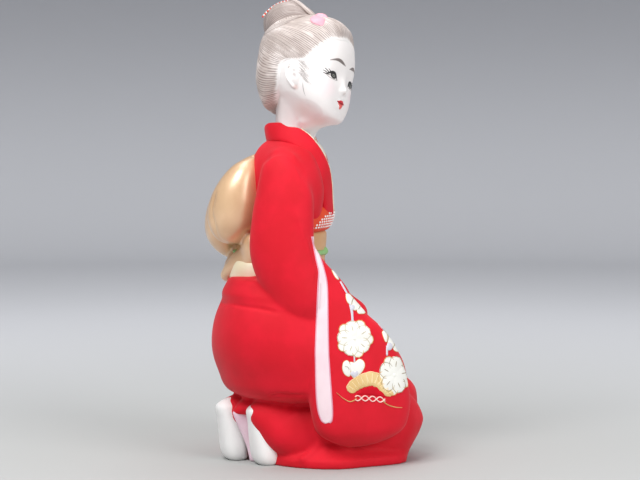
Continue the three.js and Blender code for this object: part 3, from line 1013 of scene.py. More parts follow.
@dataclass(frozen=True)
class Easel:
    """A plane before a piece, from which painted shapes are laid straight on it.

    A sketch's places are measured across and above from `origin`, in `unit` metres. They are thrown onto the piece
    from the eye, or straight against `toward` where there is none.
    """

    piece: bpy.types.Object
    origin: Array
    across: Array
    above: Array
    toward: Array
    unit: float = MM
    eye: Array | None = None
    depth: float = 1.0  # how far behind the easel the piece is still painted, in metres
    facing: float = -2.0  # how much a place of the piece has to face the easel

    @cached_property
    def tree(self) -> BVHTree:
        """The faces of the piece that take paint."""
        mesh = self.piece.data
        normals, middles = (np.empty(len(mesh.polygons) * 3, np.float32) for _ in range(2))
        mesh.polygons.foreach_get("normal", normals)
        mesh.polygons.foreach_get("center", middles)
        behind = np.abs((middles.reshape(-1, 3) - self.origin) @ self.toward)
        taken = (normals.reshape(-1, 3) @ self.toward > self.facing) & (behind < self.depth)
        faces = [tuple(mesh.polygons[k].vertices) for k in np.flatnonzero(taken).tolist()]
        return BVHTree.FromPolygons([v.co for v in mesh.vertices], faces)

    def lay(self, sketches: Sequence[Net]) -> Net:
        """Sketches as thin bodies on the piece.

        A place that misses the piece goes to the nearest place of it. Each is then lifted off along the surface's
        direction.
        """
        tree = self.tree
        whole = joined(sketches)
        flat = self.origin + self.unit * (
            np.outer(whole.points[:, 0], self.across) + np.outer(whole.points[:, 1], self.above)
        )
        starts = flat + 0.1 * self.toward if self.eye is None else np.tile(self.eye, (len(flat), 1))
        ways = flat - starts
        points = np.empty_like(flat)
        for k, (start, way, place, lift) in enumerate(zip(starts, ways, flat, whole.points[:, 2])):
            hit, normal, _, _ = tree.ray_cast(Vector(start), Vector(way).normalized(), 2 * Vector(way).length)
            if hit is None:
                along = way / np.linalg.norm(way)
                tries = [tree.find_nearest(Vector(place + step * along)) for step in np.linspace(-0.02, 0.03, 11)]
                hit, normal, _, _ = min(tries, key=lambda found: found[3])
            points[k] = np.array(hit) + np.array(normal) * (lift * MM)
        net = whole.moved(points)
        return net if volume(net) > 0 else net.flipped()

    def paint(self, name: str, sketches: Sequence[Net], finish: Finish, slot: str) -> bpy.types.Object:
        """Sketches as one painted piece.

        Args:
            name: the piece's name.
            sketches: thin shapes.
            finish: their paint.
            slot: the recorded colour that they belong to; not used.

        Returns:
            The piece.
        """
        return dressed(to_object(name, self.lay(sketches)), finish.make(), slot)


class Kimono:
    """The red kimono: seat, folded legs, skirt, body and long sleeves, as one piece of clay."""

    def __init__(self, scale: Scale) -> None:
        """Keeps the scale.

        Args:
            scale: turns shares into metres.
        """
        self.scale = scale

    def skirt(self) -> list[Net]:
        """Seat, lap, folded legs, waist fold and the hem that lies on the ground."""
        seat = stack(
            HIPS,
            [
                [108, 90, 120, 80, 80],
                [150, 184, 200, 150, 150],
                [196, 211, 204, 166, 166],
                [245, 225, 176, 170, 168],
                [300, 221, 112, 158, 156],
                [350, 203, 60, 136, 134],
                [396, 180, 32, 108, 108],
                [424, 150, 10, 90, 90],
            ],
            ends=(0.16, 0.14),
            square=2.15,
        )
        lap = stack(
            HIPS,
            [
                [6, 40, 196, 96, 96],
                [50, 40, 222, 108, 108],
                [110, 40, 234, 112, 112],
                [165, 40, 226, 106, 106],
                [214, 40, 194, 84, 84],
            ],
            ends=(0.12, 0.35),
            square=2.6,
        )
        fold = stack(
            HIPS,
            [
                [330, 200, 66, 132, 132],
                [346, 206, 66, 138, 136],
                [368, 197, 50, 128, 126],
                [388, 186, 38, 114, 114],
                [400, 166, 20, 100, 100],
            ],
            lean=-8,
            ends=(0.14, 0.3),
        )
        tip = limb(
            HIPS,
            [
                [-2, -110, 136, 30, 26],
                [0, -150, 122, 26, 20],
                [2, -188, 108, 15, 10],
            ],
            ends=(0.1, 0.4),
        )
        forms = [seat, lap, fold, tip, self.leg(1, -150), self.leg(-1, -182)]
        return [*(form.net() for form in forms), self.hem()]

    def leg(self, side: int, heel: float) -> Form:
        """A folded leg, from the knee back to the ankle.

        Args:
            side: 1 for her right and -1 for her left.
            heel: how far ahead the heel lies.

        Returns:
            The form.
        """
        return limb(
            HIPS,
            [
                [side * 60, 206, 106, 60, 56],
                [side * 72, 184, 96, 74, 80],
                [side * 78, 112, 84, 78, 86],
                [side * 70, 4, 74, 70, 76],
                [side * 56, heel + 66, 76, 56, 60],
                [side * 46, heel + 20, 103, 42, 42],
                [side * 44, heel - 16, 122, 30, 24],
            ],
            ends=(0.2, 0.08),
            square=2.5,
        )

    def hem(self) -> Net:
        """The skirt that spreads on the ground.

        Its outline is a closed smooth line through named corners, and each level keeps a share of the outline, drawn
        in towards the middle.
        """
        corners = np.array(
            [
                [78, -112],
                [164, -29],
                [166, 60],
                [149, 150],
                [70, 192],
                [-70, 192],
                [-150, 150],
                [-166, 40],
                [-140, -70],
                [-76, -128],
            ],
            float,
        )
        levels = [[0, 1], [16, 1], [30, 0.92], [70, 0.74], [112, 0.6]]
        count = len(corners)
        around = np.arange(-1, count + 2)
        table = np.column_stack([around, corners[around % count]])
        sides = 160
        edge = smooth(table, np.arange(sides) * count / sides)
        middle = edge.mean(axis=0)
        rings = [np.column_stack([middle + (edge - middle) * share, np.full(sides, up)]) for up, share in levels]
        tips = np.array([[*middle, levels[0][0]], [*middle, levels[-1][0]]])
        points = HIPS.out(np.concatenate([*rings, tips]))
        here = np.arange(sides)
        after = (here + 1) % sides
        low, top = len(levels) * sides, (len(levels) - 1) * sides
        tris = np.concatenate(
            [
                np.stack([np.full(sides, low), after, here], axis=1),
                np.stack([np.full(sides, low + 1), top + here, top + after], axis=1),
            ]
        )
        net = Net(points=points, quads=grid(len(levels), sides, round_columns=True), tris=tris)
        return net if volume(net) > 0 else net.flipped()

    def body(self) -> list[Net]:
        """The upper body, down to the sash."""
        torso = stack(
            CHEST,
            [
                [392, 154, 12, 92, 92],
                [450, 160, 20, 98, 98],
                [510, 150, 28, 102, 102],
                [570, 142, 36, 110, 110],
                [620, 134, 38, 118, 118],
                [655, 126, 32, 112, 112],
                [684, 112, 20, 84, 84],
                [712, 96, 8, 52, 52],
            ],
            ends=(0.1, 0.12),
            square=2.2,
        )
        shoulder = [
            [20, -52, 690, 34, 26],
            [52, -50, 672, 38, 30],
            [84, -50, 646, 40, 38],
            [106, -50, 612, 40, 38],
            [112, -50, 570, 34, 26],
        ]
        breast = [
            [58, -26, 688, 26, 22],
            [70, -6, 660, 32, 24],
            [78, 8, 628, 36, 27],
            [76, 14, 590, 36, 28],
            [70, 14, 550, 34, 26],
            [60, 10, 505, 30, 22],
        ]
        looks = {"side": (0, 1, 0), "ends": (0.3, 0.3)}
        limbs = [
            limb(CHEST, shoulder, **looks),
            limb(CHEST, mirrored(shoulder), **looks),
            limb(CHEST, breast),
            limb(CHEST, shifted(mirrored(breast), (0, -10, 0))),
        ]
        return [torso.net(), *(form.net() for form in limbs)]

    def sleeves(self) -> list[Net]:
        """Upper arms, forearms and the long bags of cloth that hang from them."""
        upper = [
            [96, -58, 686, 20, 28],
            [114, -44, 646, 32, 45],
            [128, -36, 580, 40, 61],
            [136, -38, 520, 43, 67],
            [142, -38, 460, 44, 69],
            [142, -20, 400, 44, 64],
            [138, 4, 345, 42, 56],
            [124, 26, 288, 32, 40],
        ]
        drawn_back = [0, -4, -14, -22, -28, -36, -38, -36]
        far_upper = [[row[0], row[1] + back, *row[2:]] for row, back in zip(mirrored(upper), drawn_back)]
        fore = [
            [134, -26, 380, 40, 44],
            [122, 8, 344, 40, 42],
            [98, 54, 322, 36, 34],
            [70, 88, 312, 29, 27],
            [48, 104, 308, 22, 21],
        ]
        near = [
            [44, 36, 108, 180, -140],
            [64, 46, 132, 190, -122],
            [94, 58, 152, 195, -112],
            [146, 68, 160, 195, -108],
            [221, 70, 142, 190, -106],
            [280, 66, 112, 182, -100],
            [328, 62, 70, 172, -88],
            [363, 60, 40, 164, -70],
            [400, 62, 13, 156, -60],
            [445, 66, -30, 148, -70],
            [490, 72, -62, 138, -100],
        ]
        far = [
            [44, 10, 122, -132, 176],
            [66, 8, 150, -118, 190],
            [110, 10, 170, -110, 196],
            [180, 8, 166, -104, 194],
            [250, 0, 138, -96, 188],
            [310, -10, 100, -84, 178],
            [352, -18, 66, -70, 168],
            [396, -26, 44, -60, 156],
            [440, -34, 20, -60, 140],
        ]
        arm = {"ends": (0.16, 0.2)}
        bag = {"ends": (0.09, 0.05), "square": 2.6}
        forms = [
            limb(CHEST, upper, **arm),
            limb(CHEST, far_upper, **arm),
            limb(CHEST, fore, **arm),
            limb(CHEST, mirrored(fore), **arm),
            stack(HIPS, near, **bag),
            stack(HIPS, far, **bag),
        ]
        return [form.net() for form in forms]

    def build(self) -> bpy.types.Object:
        """The kimono as one piece."""
        piece = Clay(step=1.1, passes=8).melt(
            "kimono", [*self.skirt(), *self.body(), *self.sleeves()], self.scale
        )
        rubs = [
            Rub(CHEST, (70, -46, 676), 70),
            Rub(CHEST, (88, 4, 620), 64),
            Rub(CHEST, (80, 20, 560), 50),
            Rub(HIPS, (138, 40, 330), 60),
            Rub(HIPS, (150, 20, 250), 50),
            Rub(HIPS, (104, 190, 40), 60),
            Rub(HIPS, (60, 214, 60), 60),
        ]
        rub(piece, rubs, 120, self.scale)
        creases = [
            Crease(
                CHEST,
                [[0, -84, 642], [0, -76, 656], [0, -54, 669], [0, -31, 668], [0, -12, 651], [0, 5, 628], [0, 14, 590]],
                5,
                3.2,
                flat=True,
            ),
            Crease(CHEST, [[165, -10, 559], [163, 7, 508], [160, 25, 449], [159, 42, 395]], 7, -3),
            Crease(HIPS, [[-60, -200, 346], [-17, -204, 344], [70, -190, 346], [114, -157, 341], [136, -123, 331]], 4, 3.6),
            Crease(
                HIPS,
                [[-30, -158, 134], [10, -150, 138], [52, -149, 147], [116, -133, 159], [137, -92, 159], [147, -60, 162]],
                4,
                4.0,
            ),
            Crease(HIPS, [[132, -30, 58], [128, -58, 32], [124, -84, 12]], 7, -4),
        ]
        carve(piece, creases, self.scale)
        return dressed(piece, RED.make(), "kimono")


class Collar:
    """The red collar bands and the thin cream collar inside them."""

    def __init__(self, scale: Scale) -> None:
        """Keeps the scale.

        Args:
            scale: turns shares into metres.
        """
        self.scale = scale

    def bands(self) -> tuple[list[list[float]], list[list[float]]]:
        """The rows of the band round the nape to her right breast, and of the one laid over it from her left."""
        tall, thick = 21.4, 6.1
        nape = [
            [-34, -84, 712, tall, thick, 0.2, -0.15, 1],
            [0, -96, 706, tall, thick, 0, -0.2, 1],
            [34, -84, 712, tall, thick, -0.2, -0.15, 1],
        ]
        down = [
            [54, -52, 712, tall, thick, -0.45, 0, 1],
            [64, -15, 698, tall, thick, -0.5, 0.2, 1],
            [66, 16, 668, tall, thick, -0.7, 0.4, 0.8],
            [58, 34, 634, tall, thick, -0.9, 0.5, 0.5],
            [47, 40, 600, tall, thick, -1, 0.4, 0.35],
            [34, 41, 564, tall, thick, -1, 0.3, 0.3],
            [20, 41, 524, tall, thick, -1, 0.3, 0.3],
        ]
        laid = [
            [-54, -50, 710, tall, thick, 0.45, 0, 1],
            [-62, -18, 696, tall, thick, 0.6, 0.1, 1],
            [-60, 2, 664, tall, thick, 0.8, 0.1, 0.8],
            [-50, 15, 630, tall, thick, 1, 0.1, 0.5],
            [-38, 23, 597, tall, thick, 1, 0.15, 0.35],
            [-26, 28, 562, tall, thick, 1, 0.15, 0.3],
            [-10, 31, 524, tall, thick, 1, 0.15, 0.3],
        ]
        start = [-26, -87, 710, 0.94 * tall, 0.9 * thick, 0.16, -0.16, 1]
        over = [start, *laid]
        return [*nape, *down], over

    def build(self) -> None:
        """Both bands, and the cream line along their upper edge."""
        under, over = self.bands()
        looks = {"ends": (0.04, 0.04), "square": 3}
        nets = [limb(CHEST, rows, **looks).net(90, 48) for rows in (under, over)]
        piece = Clay(step=0.7, passes=3).melt("collar", nets, self.scale)
        dressed(piece, RED.make(), "kimono")
        lines = [limb(CHEST, self.inner(rows), **looks).net(90, 32) for rows in (under, over)]
        cream = Clay(step=0.5, passes=2).melt("inner_collar", lines, self.scale)
        dressed(cream, CREAM.make(), "collar_line")

    def opening(self, kimono: bpy.types.Object) -> None:
        """Paints the skin that shows between the collars in front, with a cream edge on both sides.

        Args:
            kimono: the piece to paint on.
        """
        right, ahead, up = CHEST.axes
        origin = self.scale.metres(CHEST.out(np.array([[0.0, 50.0, 0.0]])))[0]
        easel = Easel(kimono, origin, right, up, ahead, self.scale.share, depth=0.05, facing=0.1)
        skin = [(44, 716), (40, 690), (31, 660), (20, 632), (4, 652), (-14, 676), (-30, 700), (-36, 716)]
        easel.paint("throat", [pad(closed_line(skin, 90), 0.1)], SKIN, "skin")
        sides = [
            [[47, 716, 3.4], [43, 690, 3.4], [34, 658, 3.4], [20, 624, 3.0], [8, 600, 2.4]],
            [[-39, 716, 3.4], [-33, 700, 3.4], [-16, 674, 3.4], [3, 649, 3.4], [22, 624, 3.4], [40, 598, 2.4]],
        ]
        easel.paint("throat_edge", [stroke(rows, thick=0.24, step=2.0) for rows in sides], CREAM, "collar_line")

    @staticmethod
    def inner(rows: list[list[float]]) -> list[list[float]]:
        """The rows of the inner collar: as the band, but thinner, and moved out past its upper edge in front."""
        moved = []
        for right, ahead, up, tall, thick, *way in rows:
            past = 2.2 * float(ease(np.array((ahead + 60) / 50))) + 5.0 * float(ease(np.array((650 - up) / 90)))
            r, a, u = (v / math.hypot(*way) * past for v in way)
            moved.append([right + r, ahead + a, up + u, tall, 0.5 * thick, *way])
        return moved


class Bow:
    """The big soft bow of satin on her back: a wrapped middle, a loop on each side, and two hanging ends."""

    def __init__(self, scale: Scale) -> None:
        """Keeps the scale.

        Args:
            scale: turns shares into metres.
        """
        self.scale = scale

    def build(self) -> None:
        """The bow as one piece."""
        middle = [
            [0, -114, 668, 24, 14],
            [0, -144, 626, 50, 32],
            [0, -176, 562, 64, 46],
            [0, -190, 502, 62, 47],
            [0, -177, 463, 46, 35],
            [0, -144, 446, 24, 16],
        ]
        loop = [
            [40, -112, 660, 24, 14],
            [62, -134, 618, 44, 38],
            [76, -152, 560, 50, 56],
            [74, -158, 508, 46, 54],
            [60, -146, 472, 32, 34],
        ]
        end = [
            [20, -132, 482, 22, 18],
            [16, -150, 452, 26, 20],
            [12, -174, 424, 32, 15],
            [8, -188, 390, 32, 8],
        ]
        wrap = [
            [58, -132, 496, 20, 28],
            [74, -118, 472, 25, 36],
            [70, -118, 448, 25, 34],
            [48, -146, 428, 28, 24],
            [26, -172, 402, 26, 14],
            [12, -186, 386, 20, 8],
        ]
        tail = {"ends": (0.3, 0.12), "square": 2.6}
        forms = [
            limb(CHEST, wrap, side=(0.6, -1, 0), **tail),
            limb(CHEST, mirrored(wrap), side=(-0.6, -1, 0), **tail),
            limb(CHEST, middle),
            limb(CHEST, loop),
            limb(CHEST, mirrored(loop)),
            limb(CHEST, end, **tail),
            limb(CHEST, mirrored(end), **tail),
        ]
        piece = Clay(step=0.8, passes=5).melt("bow", [form.net() for form in forms], self.scale)
        edge = [
            [106, -190, 590],
            [106, -193, 568],
            [107, -197, 541],
            [110, -194, 521],
            [104, -188, 503],
            [94, -180, 487],
            [79, -158, 474],
            [58, -147, 468],
        ]
        carve(piece, [Crease(CHEST, edge, 4.0, 7.0, sharp=2.5)], self.scale)
        dressed(piece, SATIN.make(), "sash")


class Sash:
    """The sash with its cream lower fold, the dotted scarf above it, and the cord tied round it."""

    PROUD = 5.7  # how far the sash stands out from the body

    def __init__(self, scale: Scale) -> None:
        """Keeps the scale.

        Args:
            scale: turns shares into metres.
        """
        self.scale = scale
        self.rows = [
            [394, 176, 14, 98, 98],
            [412, 176, 19, 101, 101],
            [450, 163, 23, 100, 100],
            [490, 153, 26, 100, 100],
            [506, 147, 25, 98, 98],
        ]

    def grown(self, low: float, high: float, proud: float) -> list[list[float]]:
        """The sash's rows between two levels, standing out further.

        Args:
            low: the lowest level.
            high: the highest level.
            proud: how far they stand out from the body.

        Returns:
            Six rows for a stack.
        """
        levels = np.linspace(low, high, 6)
        reaches = smooth(self.rows, levels) + proud
        return np.column_stack([levels, reaches]).tolist()

    def band(self) -> None:
        """The sash and its lower fold."""
        sash = stack(CHEST, self.grown(394, 506, self.PROUD), ends=(0.1, 0.1)).net()
        dressed(Clay(step=0.8, passes=3).melt("sash", [sash], self.scale), TAN.make(), "sash")
        fold = stack(CHEST, self.grown(376, 436, self.PROUD + 3), lean=-9, ends=(0.12, 0.2), square=2.1).net()
        dressed(Clay(step=0.8, passes=3).melt("sash_fold", [fold], self.scale), CREAM.make(), "sash_edge")

    def scarf(self) -> None:
        """The orange scarf that shows over the sash."""
        rows = [
            [490, 60, 28, 84, 84],
            [502, 60, 39, 96, 96],
            [526, 60, 48, 100, 100],
            [550, 50, 46, 80, 80],
            [566, 30, 34, 40, 40],
        ]
        form = stack(CHEST, rows, lean=5, ends=(0.12, 0.3))
        piece = Clay(step=0.7, passes=3).melt("scarf", [form.net()], self.scale)
        dressed(piece, ORANGE.make(), "sash_scarf")
        self.dots(form)
        edge = stack(CHEST, self.grown(502, 509, self.PROUD + 0.5), ends=(0.3, 0.3)).net()
        dressed(Clay(step=0.6, passes=2).melt("scarf_edge", [edge], self.scale), SCARF_RIM.make(), "sash_scarf")

    def dots(self, scarf: Form) -> None:
        """White dots in rows round the front of the scarf, below a line that rises to the front on both sides.

        Args:
            scarf: the scarf's form.
        """
        turn = 2 * np.pi * np.arange(12) / 12
        ring = np.column_stack([3.0 * np.cos(turn), 2.4 * np.sin(turn)])
        dots = []
        fine = np.linspace(-1.7, 1.7, 200)
        for row in range(11):
            t = (505.0 + 5.7 * row - 490) / 76
            run = scarf.at(np.full(200, t), fine)
            way = np.concatenate([[0.0], np.cumsum(np.linalg.norm(np.diff(run, axis=0), axis=1))])
            angle = np.interp(np.arange(4.6 * (row % 2), way[-1], 9.2), way, fine)
            places = scarf.at(np.full(len(angle), t), angle)
            normals = scarf.normal(np.full(len(angle), t), angle)
            local = CHEST.into(places)
            for place, normal, (_, ahead, up) in zip(places, normals, local):
                if up > 490 + 1.1 * ahead:
                    continue
                across = np.cross([0.0, 0.0, 1.0], normal)
                across /= np.linalg.norm(across)
                frame = np.stack([across, np.cross(normal, across), normal])
                sketch = pad(ring, 0.3, rings=2)
                flat = sketch.points * np.array([1, 1, MM / self.scale.share])
                dots.append(sketch.moved(place + normal * 0.2 + flat @ frame))
        whole = joined(dots)
        net = whole.moved(self.scale.metres(whole.points))
        dressed(to_object("scarf_dots", net if volume(net) > 0 else net.flipped()), WHITE.make(), "flower")

    def cord(self) -> None:
        """The green cord: a round cord of twisted strands, and its flat knot in front."""
        back, front, right, left = smooth(self.rows, np.array([452.0]))[0] + self.PROUD
        along, around = 260, 16
        way = 2 * np.pi * np.arange(along) / along
        middle = np.stack(
            [
                (right - left) / 2 + (right + left) / 2 * np.sin(way),
                (front - back) / 2 + (front + back) / 2 * np.cos(way),
                np.full(along, 452.0),
            ],
            axis=1,
        )
        outward = np.stack([(front + back) * np.sin(way), (right + left) * np.cos(way), np.zeros(along)], axis=1)
        outward /= np.linalg.norm(outward, axis=1, keepdims=True)
        turn = 2 * np.pi * np.arange(around) / around
        twist = 5.7 * (1 + 0.1 * np.cos(3 * turn[None, :] + 40 * way[:, None]))
        points = (
            middle[:, None, :]
            + (twist * np.cos(turn))[..., None] * outward[:, None, :]
            + (twist * np.sin(turn))[..., None] * np.array([0.0, 0.0, 1.0])
        ).reshape(-1, 3)
        ring = Net(points=CHEST.out(points), quads=grid(along, around, round_rows=True, round_columns=True))
        ring = ring if volume(ring) > 0 else ring.flipped()
        knot = limb(
            CHEST,
            [[-14, front - 3, 455, 7, 7], [0, front - 1, 454, 9, 8], [14, front - 3, 451, 7, 7]],
            side=(0, 0, 1),
            ends=(0.4, 0.4),
        ).net(24, 32)
        whole = joined([ring, knot])
        dressed(to_object("cord", whole.moved(self.scale.metres(whole.points))), GREEN.make(), "cord")

    def build(self) -> None:
        """The sash, the scarf and the cord."""
        self.band()
        self.scarf()
        self.cord()


class Feet:
    """Two white split-toed socks with upright soles, and the pink lining between them."""

    def __init__(self, scale: Scale) -> None:
        """Keeps the scale.

        Args:
            scale: turns shares into metres.
        """
        self.scale = scale

    def foot(self, name: str, side: float, heel: float) -> None:
        """A sock that stands on its toes.

        Args:
            name: the piece's name.
            side: how far to the right its middle lies.
            heel: how far back it lies.
        """
        rows = [
            [-8, -20, -70, 24],
            [16, -6, -70, 34],
            [52, 0, -70, 34],
            [90, 4, -72, 31],
            [120, 8, -76, 26],
            [136, -2, -84, 18],
        ]
        reaches = [[up, heel + back, front - heel + 130, side + half, half - side] for up, back, front, half in rows]
        form = stack(HIPS, reaches, ends=(0.12, 0.16), square=2.5)
        piece = Clay(step=0.7, passes=4).melt(name, [form.net()], self.scale)
        dressed(piece, WHITE.make(), "sock")

    def lining(self) -> None:
        """The pink lining of the skirt between the heels."""
        rows = [
            [-6, 148, 60, 14, 10],
            [30, 156, 60, 14, 10],
            [60, 168, 60, 14, 10],
            [90, 182, 60, 14, 10],
            [114, 190, 60, 12, 10],
            [134, 186, 60, 10, 10],
        ]
        form = stack(HIPS, rows, ends=(0.06, 0.2), square=3.0)
        piece = Clay(step=0.7, passes=4).melt("skirt_lining", [form.net()], self.scale)
        dressed(piece, PINK.make(), "lining")

    def build(self) -> None:
        """Both socks and the lining."""
        self.foot("near_sock", 42, 162)
        self.foot("far_sock", -42, 202)
        self.lining()


class Hands:
    """Small hands folded one over the other in the lap."""

    def __init__(self, scale: Scale) -> None:
        """Keeps the scale.

        Args:
            scale: turns shares into metres.
        """
        self.scale = scale

    def build(self) -> None:
        """Both hands as one piece."""
        hand = [
            [50, 102, 308, 13, 14],
            [28, 116, 303, 13, 16],
            [4, 124, 298, 10, 15],
            [-18, 127, 292, 7, 10],
        ]
        under = shifted(mirrored(hand), (0, 4, -12))
        looks = {"side": (0, 0, 1), "ends": (0.2, 0.3)}
        nets = [limb(CHEST, rows, **looks).net(40, 40) for rows in (hand, under)]
        dressed(Clay(step=0.5, passes=3).melt("hands", nets, self.scale), SKIN.make(), "skin")


SKULL_ROWS = (
    (-122, -6, 62, 20, 20),
    (-110, 0, 82, 46, 46),
    (-88, 28, 89, 72, 72),
    (-56, 60, 91, 90, 90),
    (-16, 90, 92, 95, 95),
    (24, 104, 93, 97, 97),
    (60, 100, 85, 90, 90),
    (90, 76, 62, 66, 66),
    (108, 40, 30, 30, 30),
)
CAP_ROWS = (
    (-112, 60, -30, 24, 24),
    (-90, 84, -20, 60, 60),
    (-50, 101, -4, 86, 86),
    (-20, 107, 34, 96, 96),
    (15, 111, 84, 99, 99),
    (50, 109, 88, 98, 98),
    (75, 102, 84, 86, 86),
    (95, 88, 77, 70, 70),
    (112, 60, 54, 46, 46),
    (121, 25, 28, 20, 20),
)


@dataclass(frozen=True)
class Feature:
    """A soft swelling of the face, or a hollow where `out` is below nothing.

    It stands out by `out` times the falling exponential of the squared distance, measured in widths and heights.
    """

    right: float
    up: float
    wide: float
    tall: float
    out: float

    def push(self, local: Array) -> Array:
        """How far places on the face move ahead."""
        across = (local[:, 0] - self.right) / self.wide
        along = (local[:, 2] - self.up) / self.tall
        return self.out * np.exp(-(across**2) - along**2)


def paired(right: float, *sizes: float) -> tuple[Feature, Feature]:
    """The same feature on both sides of the face."""
    return Feature(right, *sizes), Feature(-right, *sizes)


class Head:
    """Neck, head and ears of white clay, with soft features."""

    FEATURES = (
        Feature(0, -14, 11, 15, 1.2),
        Feature(0, -33, 10.5, 12, 3.8),
        Feature(0, -46, 10.5, 8, 8.2),
        *paired(10, -50, 6, 5, 1.8),
        *paired(27, -20, 18, 13, -3.6),
        *paired(36, -23, 11, 7, 1.2),
        *paired(44, -60, 24, 20, 1.2),
        Feature(0, -61, 3, 6, -0.8),
        *paired(4.5, -69, 6, 3.4, 1.8),
        Feature(0, -80, 7, 4.5, 3.0),
        Feature(0, -73.6, 10, 1.7, -1.6),
        Feature(0, -91, 12, 4, -1.2),
        Feature(0, -106, 18, 11, 2.2),
    )

    def __init__(self, scale: Scale) -> None:
        """Keeps the scale.

        Args:
            scale: turns shares into metres.
        """
        self.scale = scale

    def forms(self) -> list[Net]:
        """Neck, skull, and for each ear its leaf and the rim round it."""
        neck = [
            [0, -42, 660, 54, 44],
            [0, -37, 706, 54, 43],
            [0, -29, 740, 64, 51],
            [2, -14, 780, 84, 66],
            [4, -8, 812, 88, 70],
        ]
        throat = [
            [0, 66, -107, 18, 9],
            [0, 46, -112, 28, 12],
            [0, 24, -117, 34, 15],
            [0, -2, -124, 36, 20],
        ]
        leaf = [
            [86, 22, -11, 9, 9],
            [90, 16, -22, 17, 10],
            [90, 14, -40, 17, 10],
            [85, 18, -55, 12, 9],
            [79, 22, -64, 7, 6],
        ]
        rim = [
            [96, 18, -12, 2.4, 2.4],
            [99, 10, -10, 2.8, 2.8],
            [101, 1, -15, 3, 3],
            [101, -4, -27, 3, 3],
            [99, -2, -42, 3, 3],
            [94, 6, -54, 3.2, 3.4],
            [88, 15, -63, 4, 4.4],
            [84, 22, -64, 3, 3.4],
        ]
        lobe = {"side": (0, 1, 0), "ends": (0.4, 0.4)}
        nets = [
            limb(CHEST, neck, ends=(0.05, 0.1)).net(),
            limb(HEAD, throat, ends=(0.2, 0.3)).net(),
            stack(HEAD, SKULL_ROWS, ends=(0.06, 0.06), square=2.35).net(96, 128),
        ]
        for rows in (leaf, mirrored(leaf)):
            nets.append(limb(HEAD, rows, **lobe).net(32, 40))
        for rows in (rim, mirrored(rim)):
            nets.append(limb(HEAD, rows, side=(0, 1, 0.1), ends=(0.2, 0.2)).net(64, 20))
        return nets

    def skin(self) -> BlushedAndShaded:
        """White paint with a breath of rose on the cheeks, and painted shade in peach and grey under the jaw and chin,
        under the nose, at the foot of her right ear's lobe and in its hollow.
        """
        blush_and_shade_list = []
        for poise, spot, reach, paint, strength in (
            (FACE, (48, 80, -52), 34, tint(240, 196, 204), 0.32),
            (FACE, (-48, 80, -52), 34, tint(240, 196, 204), 0.32),
            # painted shade under the jaw on both sides, and under the chin
            (FACE, (50, 34, -108), 42, tint(218, 184, 168), 0.32),
            (FACE, (-50, 34, -108), 42, tint(218, 184, 168), 0.32),
            (FACE, (14, 56, -122), 32, tint(214, 172, 154), 0.35),
            # painted shade under the nose, at the foot of her right ear's lobe and in its hollow
            (FACE, (0, 100, -54), 8, tint(190, 172, 166), 0.6),
            (HEAD, (88, 19, -64), 9, tint(206, 160, 150), 0.6),
            (HEAD, (101, 13, -38), 8, tint(196, 174, 170), 0.8),
        ):
            place = self.scale.metres(poise.out(np.array([spot], float)))[0]
            blush_and_shade_list.append(BlushAndShade(tuple(place.tolist()), reach * self.scale.share, paint, strength))
        return replace(SKIN, blush_and_shade_spots=tuple(blush_and_shade_list))

    def build(self) -> bpy.types.Object:
        """The head, with its features pushed out of the clay."""
        piece = Clay(step=0.5, passes=5).melt("head", self.forms(), self.scale)
        rubs = [
            Rub(HEAD, (60, 2, -100), 38),
            Rub(HEAD, (50, 34, -110), 36),
            Rub(HEAD, (0, 30, -126), 40),
            Rub(HEAD, (36, -40, -106), 38),
            Rub(HEAD, (97, 6, -10), 13),
        ]
        rub(piece, rubs, 500, self.scale)
        places = places_of(piece)
        local = FACE.into(self.scale.shares(places))
        ahead = sum(feature.push(local) for feature in self.FEATURES) * ease((local[:, 1] - 40) / 30)
        put_places(piece, places + FACE.axes[1] * (ahead * self.scale.share)[:, None])
        hollow = [[102, 13, -32], [103, 12, -38], [101, 14, -43]]
        other = [[-right, *rest] for right, *rest in hollow]
        carve(piece, [Crease(HEAD, path, 4.4, 5.0, sharp=3, fade=0) for path in (hollow, other)], self.scale)
        return dressed(piece, self.skin().make(), "skin")


@dataclass(frozen=True)
class Shell:
    """A stack of level sections seen from a point inside it."""

    rows: Rows
    ends: tuple[float, float]
    square: float

    def outside(self, local: Array) -> Array:
        """Whether places to the right, ahead and up lie outside the stack."""
        low, high = self.rows[0][0], self.rows[-1][0]
        t = np.clip((local[:, 2] - low) / (high - low), 0, 1)
        back, front, right, left = smooth(self.rows, low + (high - low) * t).T
        size = dome(t, self.ends[0]) * dome(1 - t, self.ends[1])
        across = (local[:, 0] - (right - left) / 2) / ((right + left) / 2)
        along = (local[:, 1] - (front - back) / 2) / ((front + back) / 2)
        return np.abs(across) ** self.square + np.abs(along) ** self.square >= size**self.square

    def reach(self, centre: Array, ways: Array) -> Array:
        """How far the surface is from the centre in each direction, found by halving.

        Args:
            centre: a place inside.
            ways: unit directions.

        Returns:
            One distance for each direction, in shares.
        """
        near, far = np.zeros(len(ways)), np.full(len(ways), 220.0)
        for _ in range(20):
            middle = (near + far) / 2
            out = self.outside(centre + ways * middle[:, None])
            near, far = np.where(out, near, middle), np.where(out, middle, far)
        return near


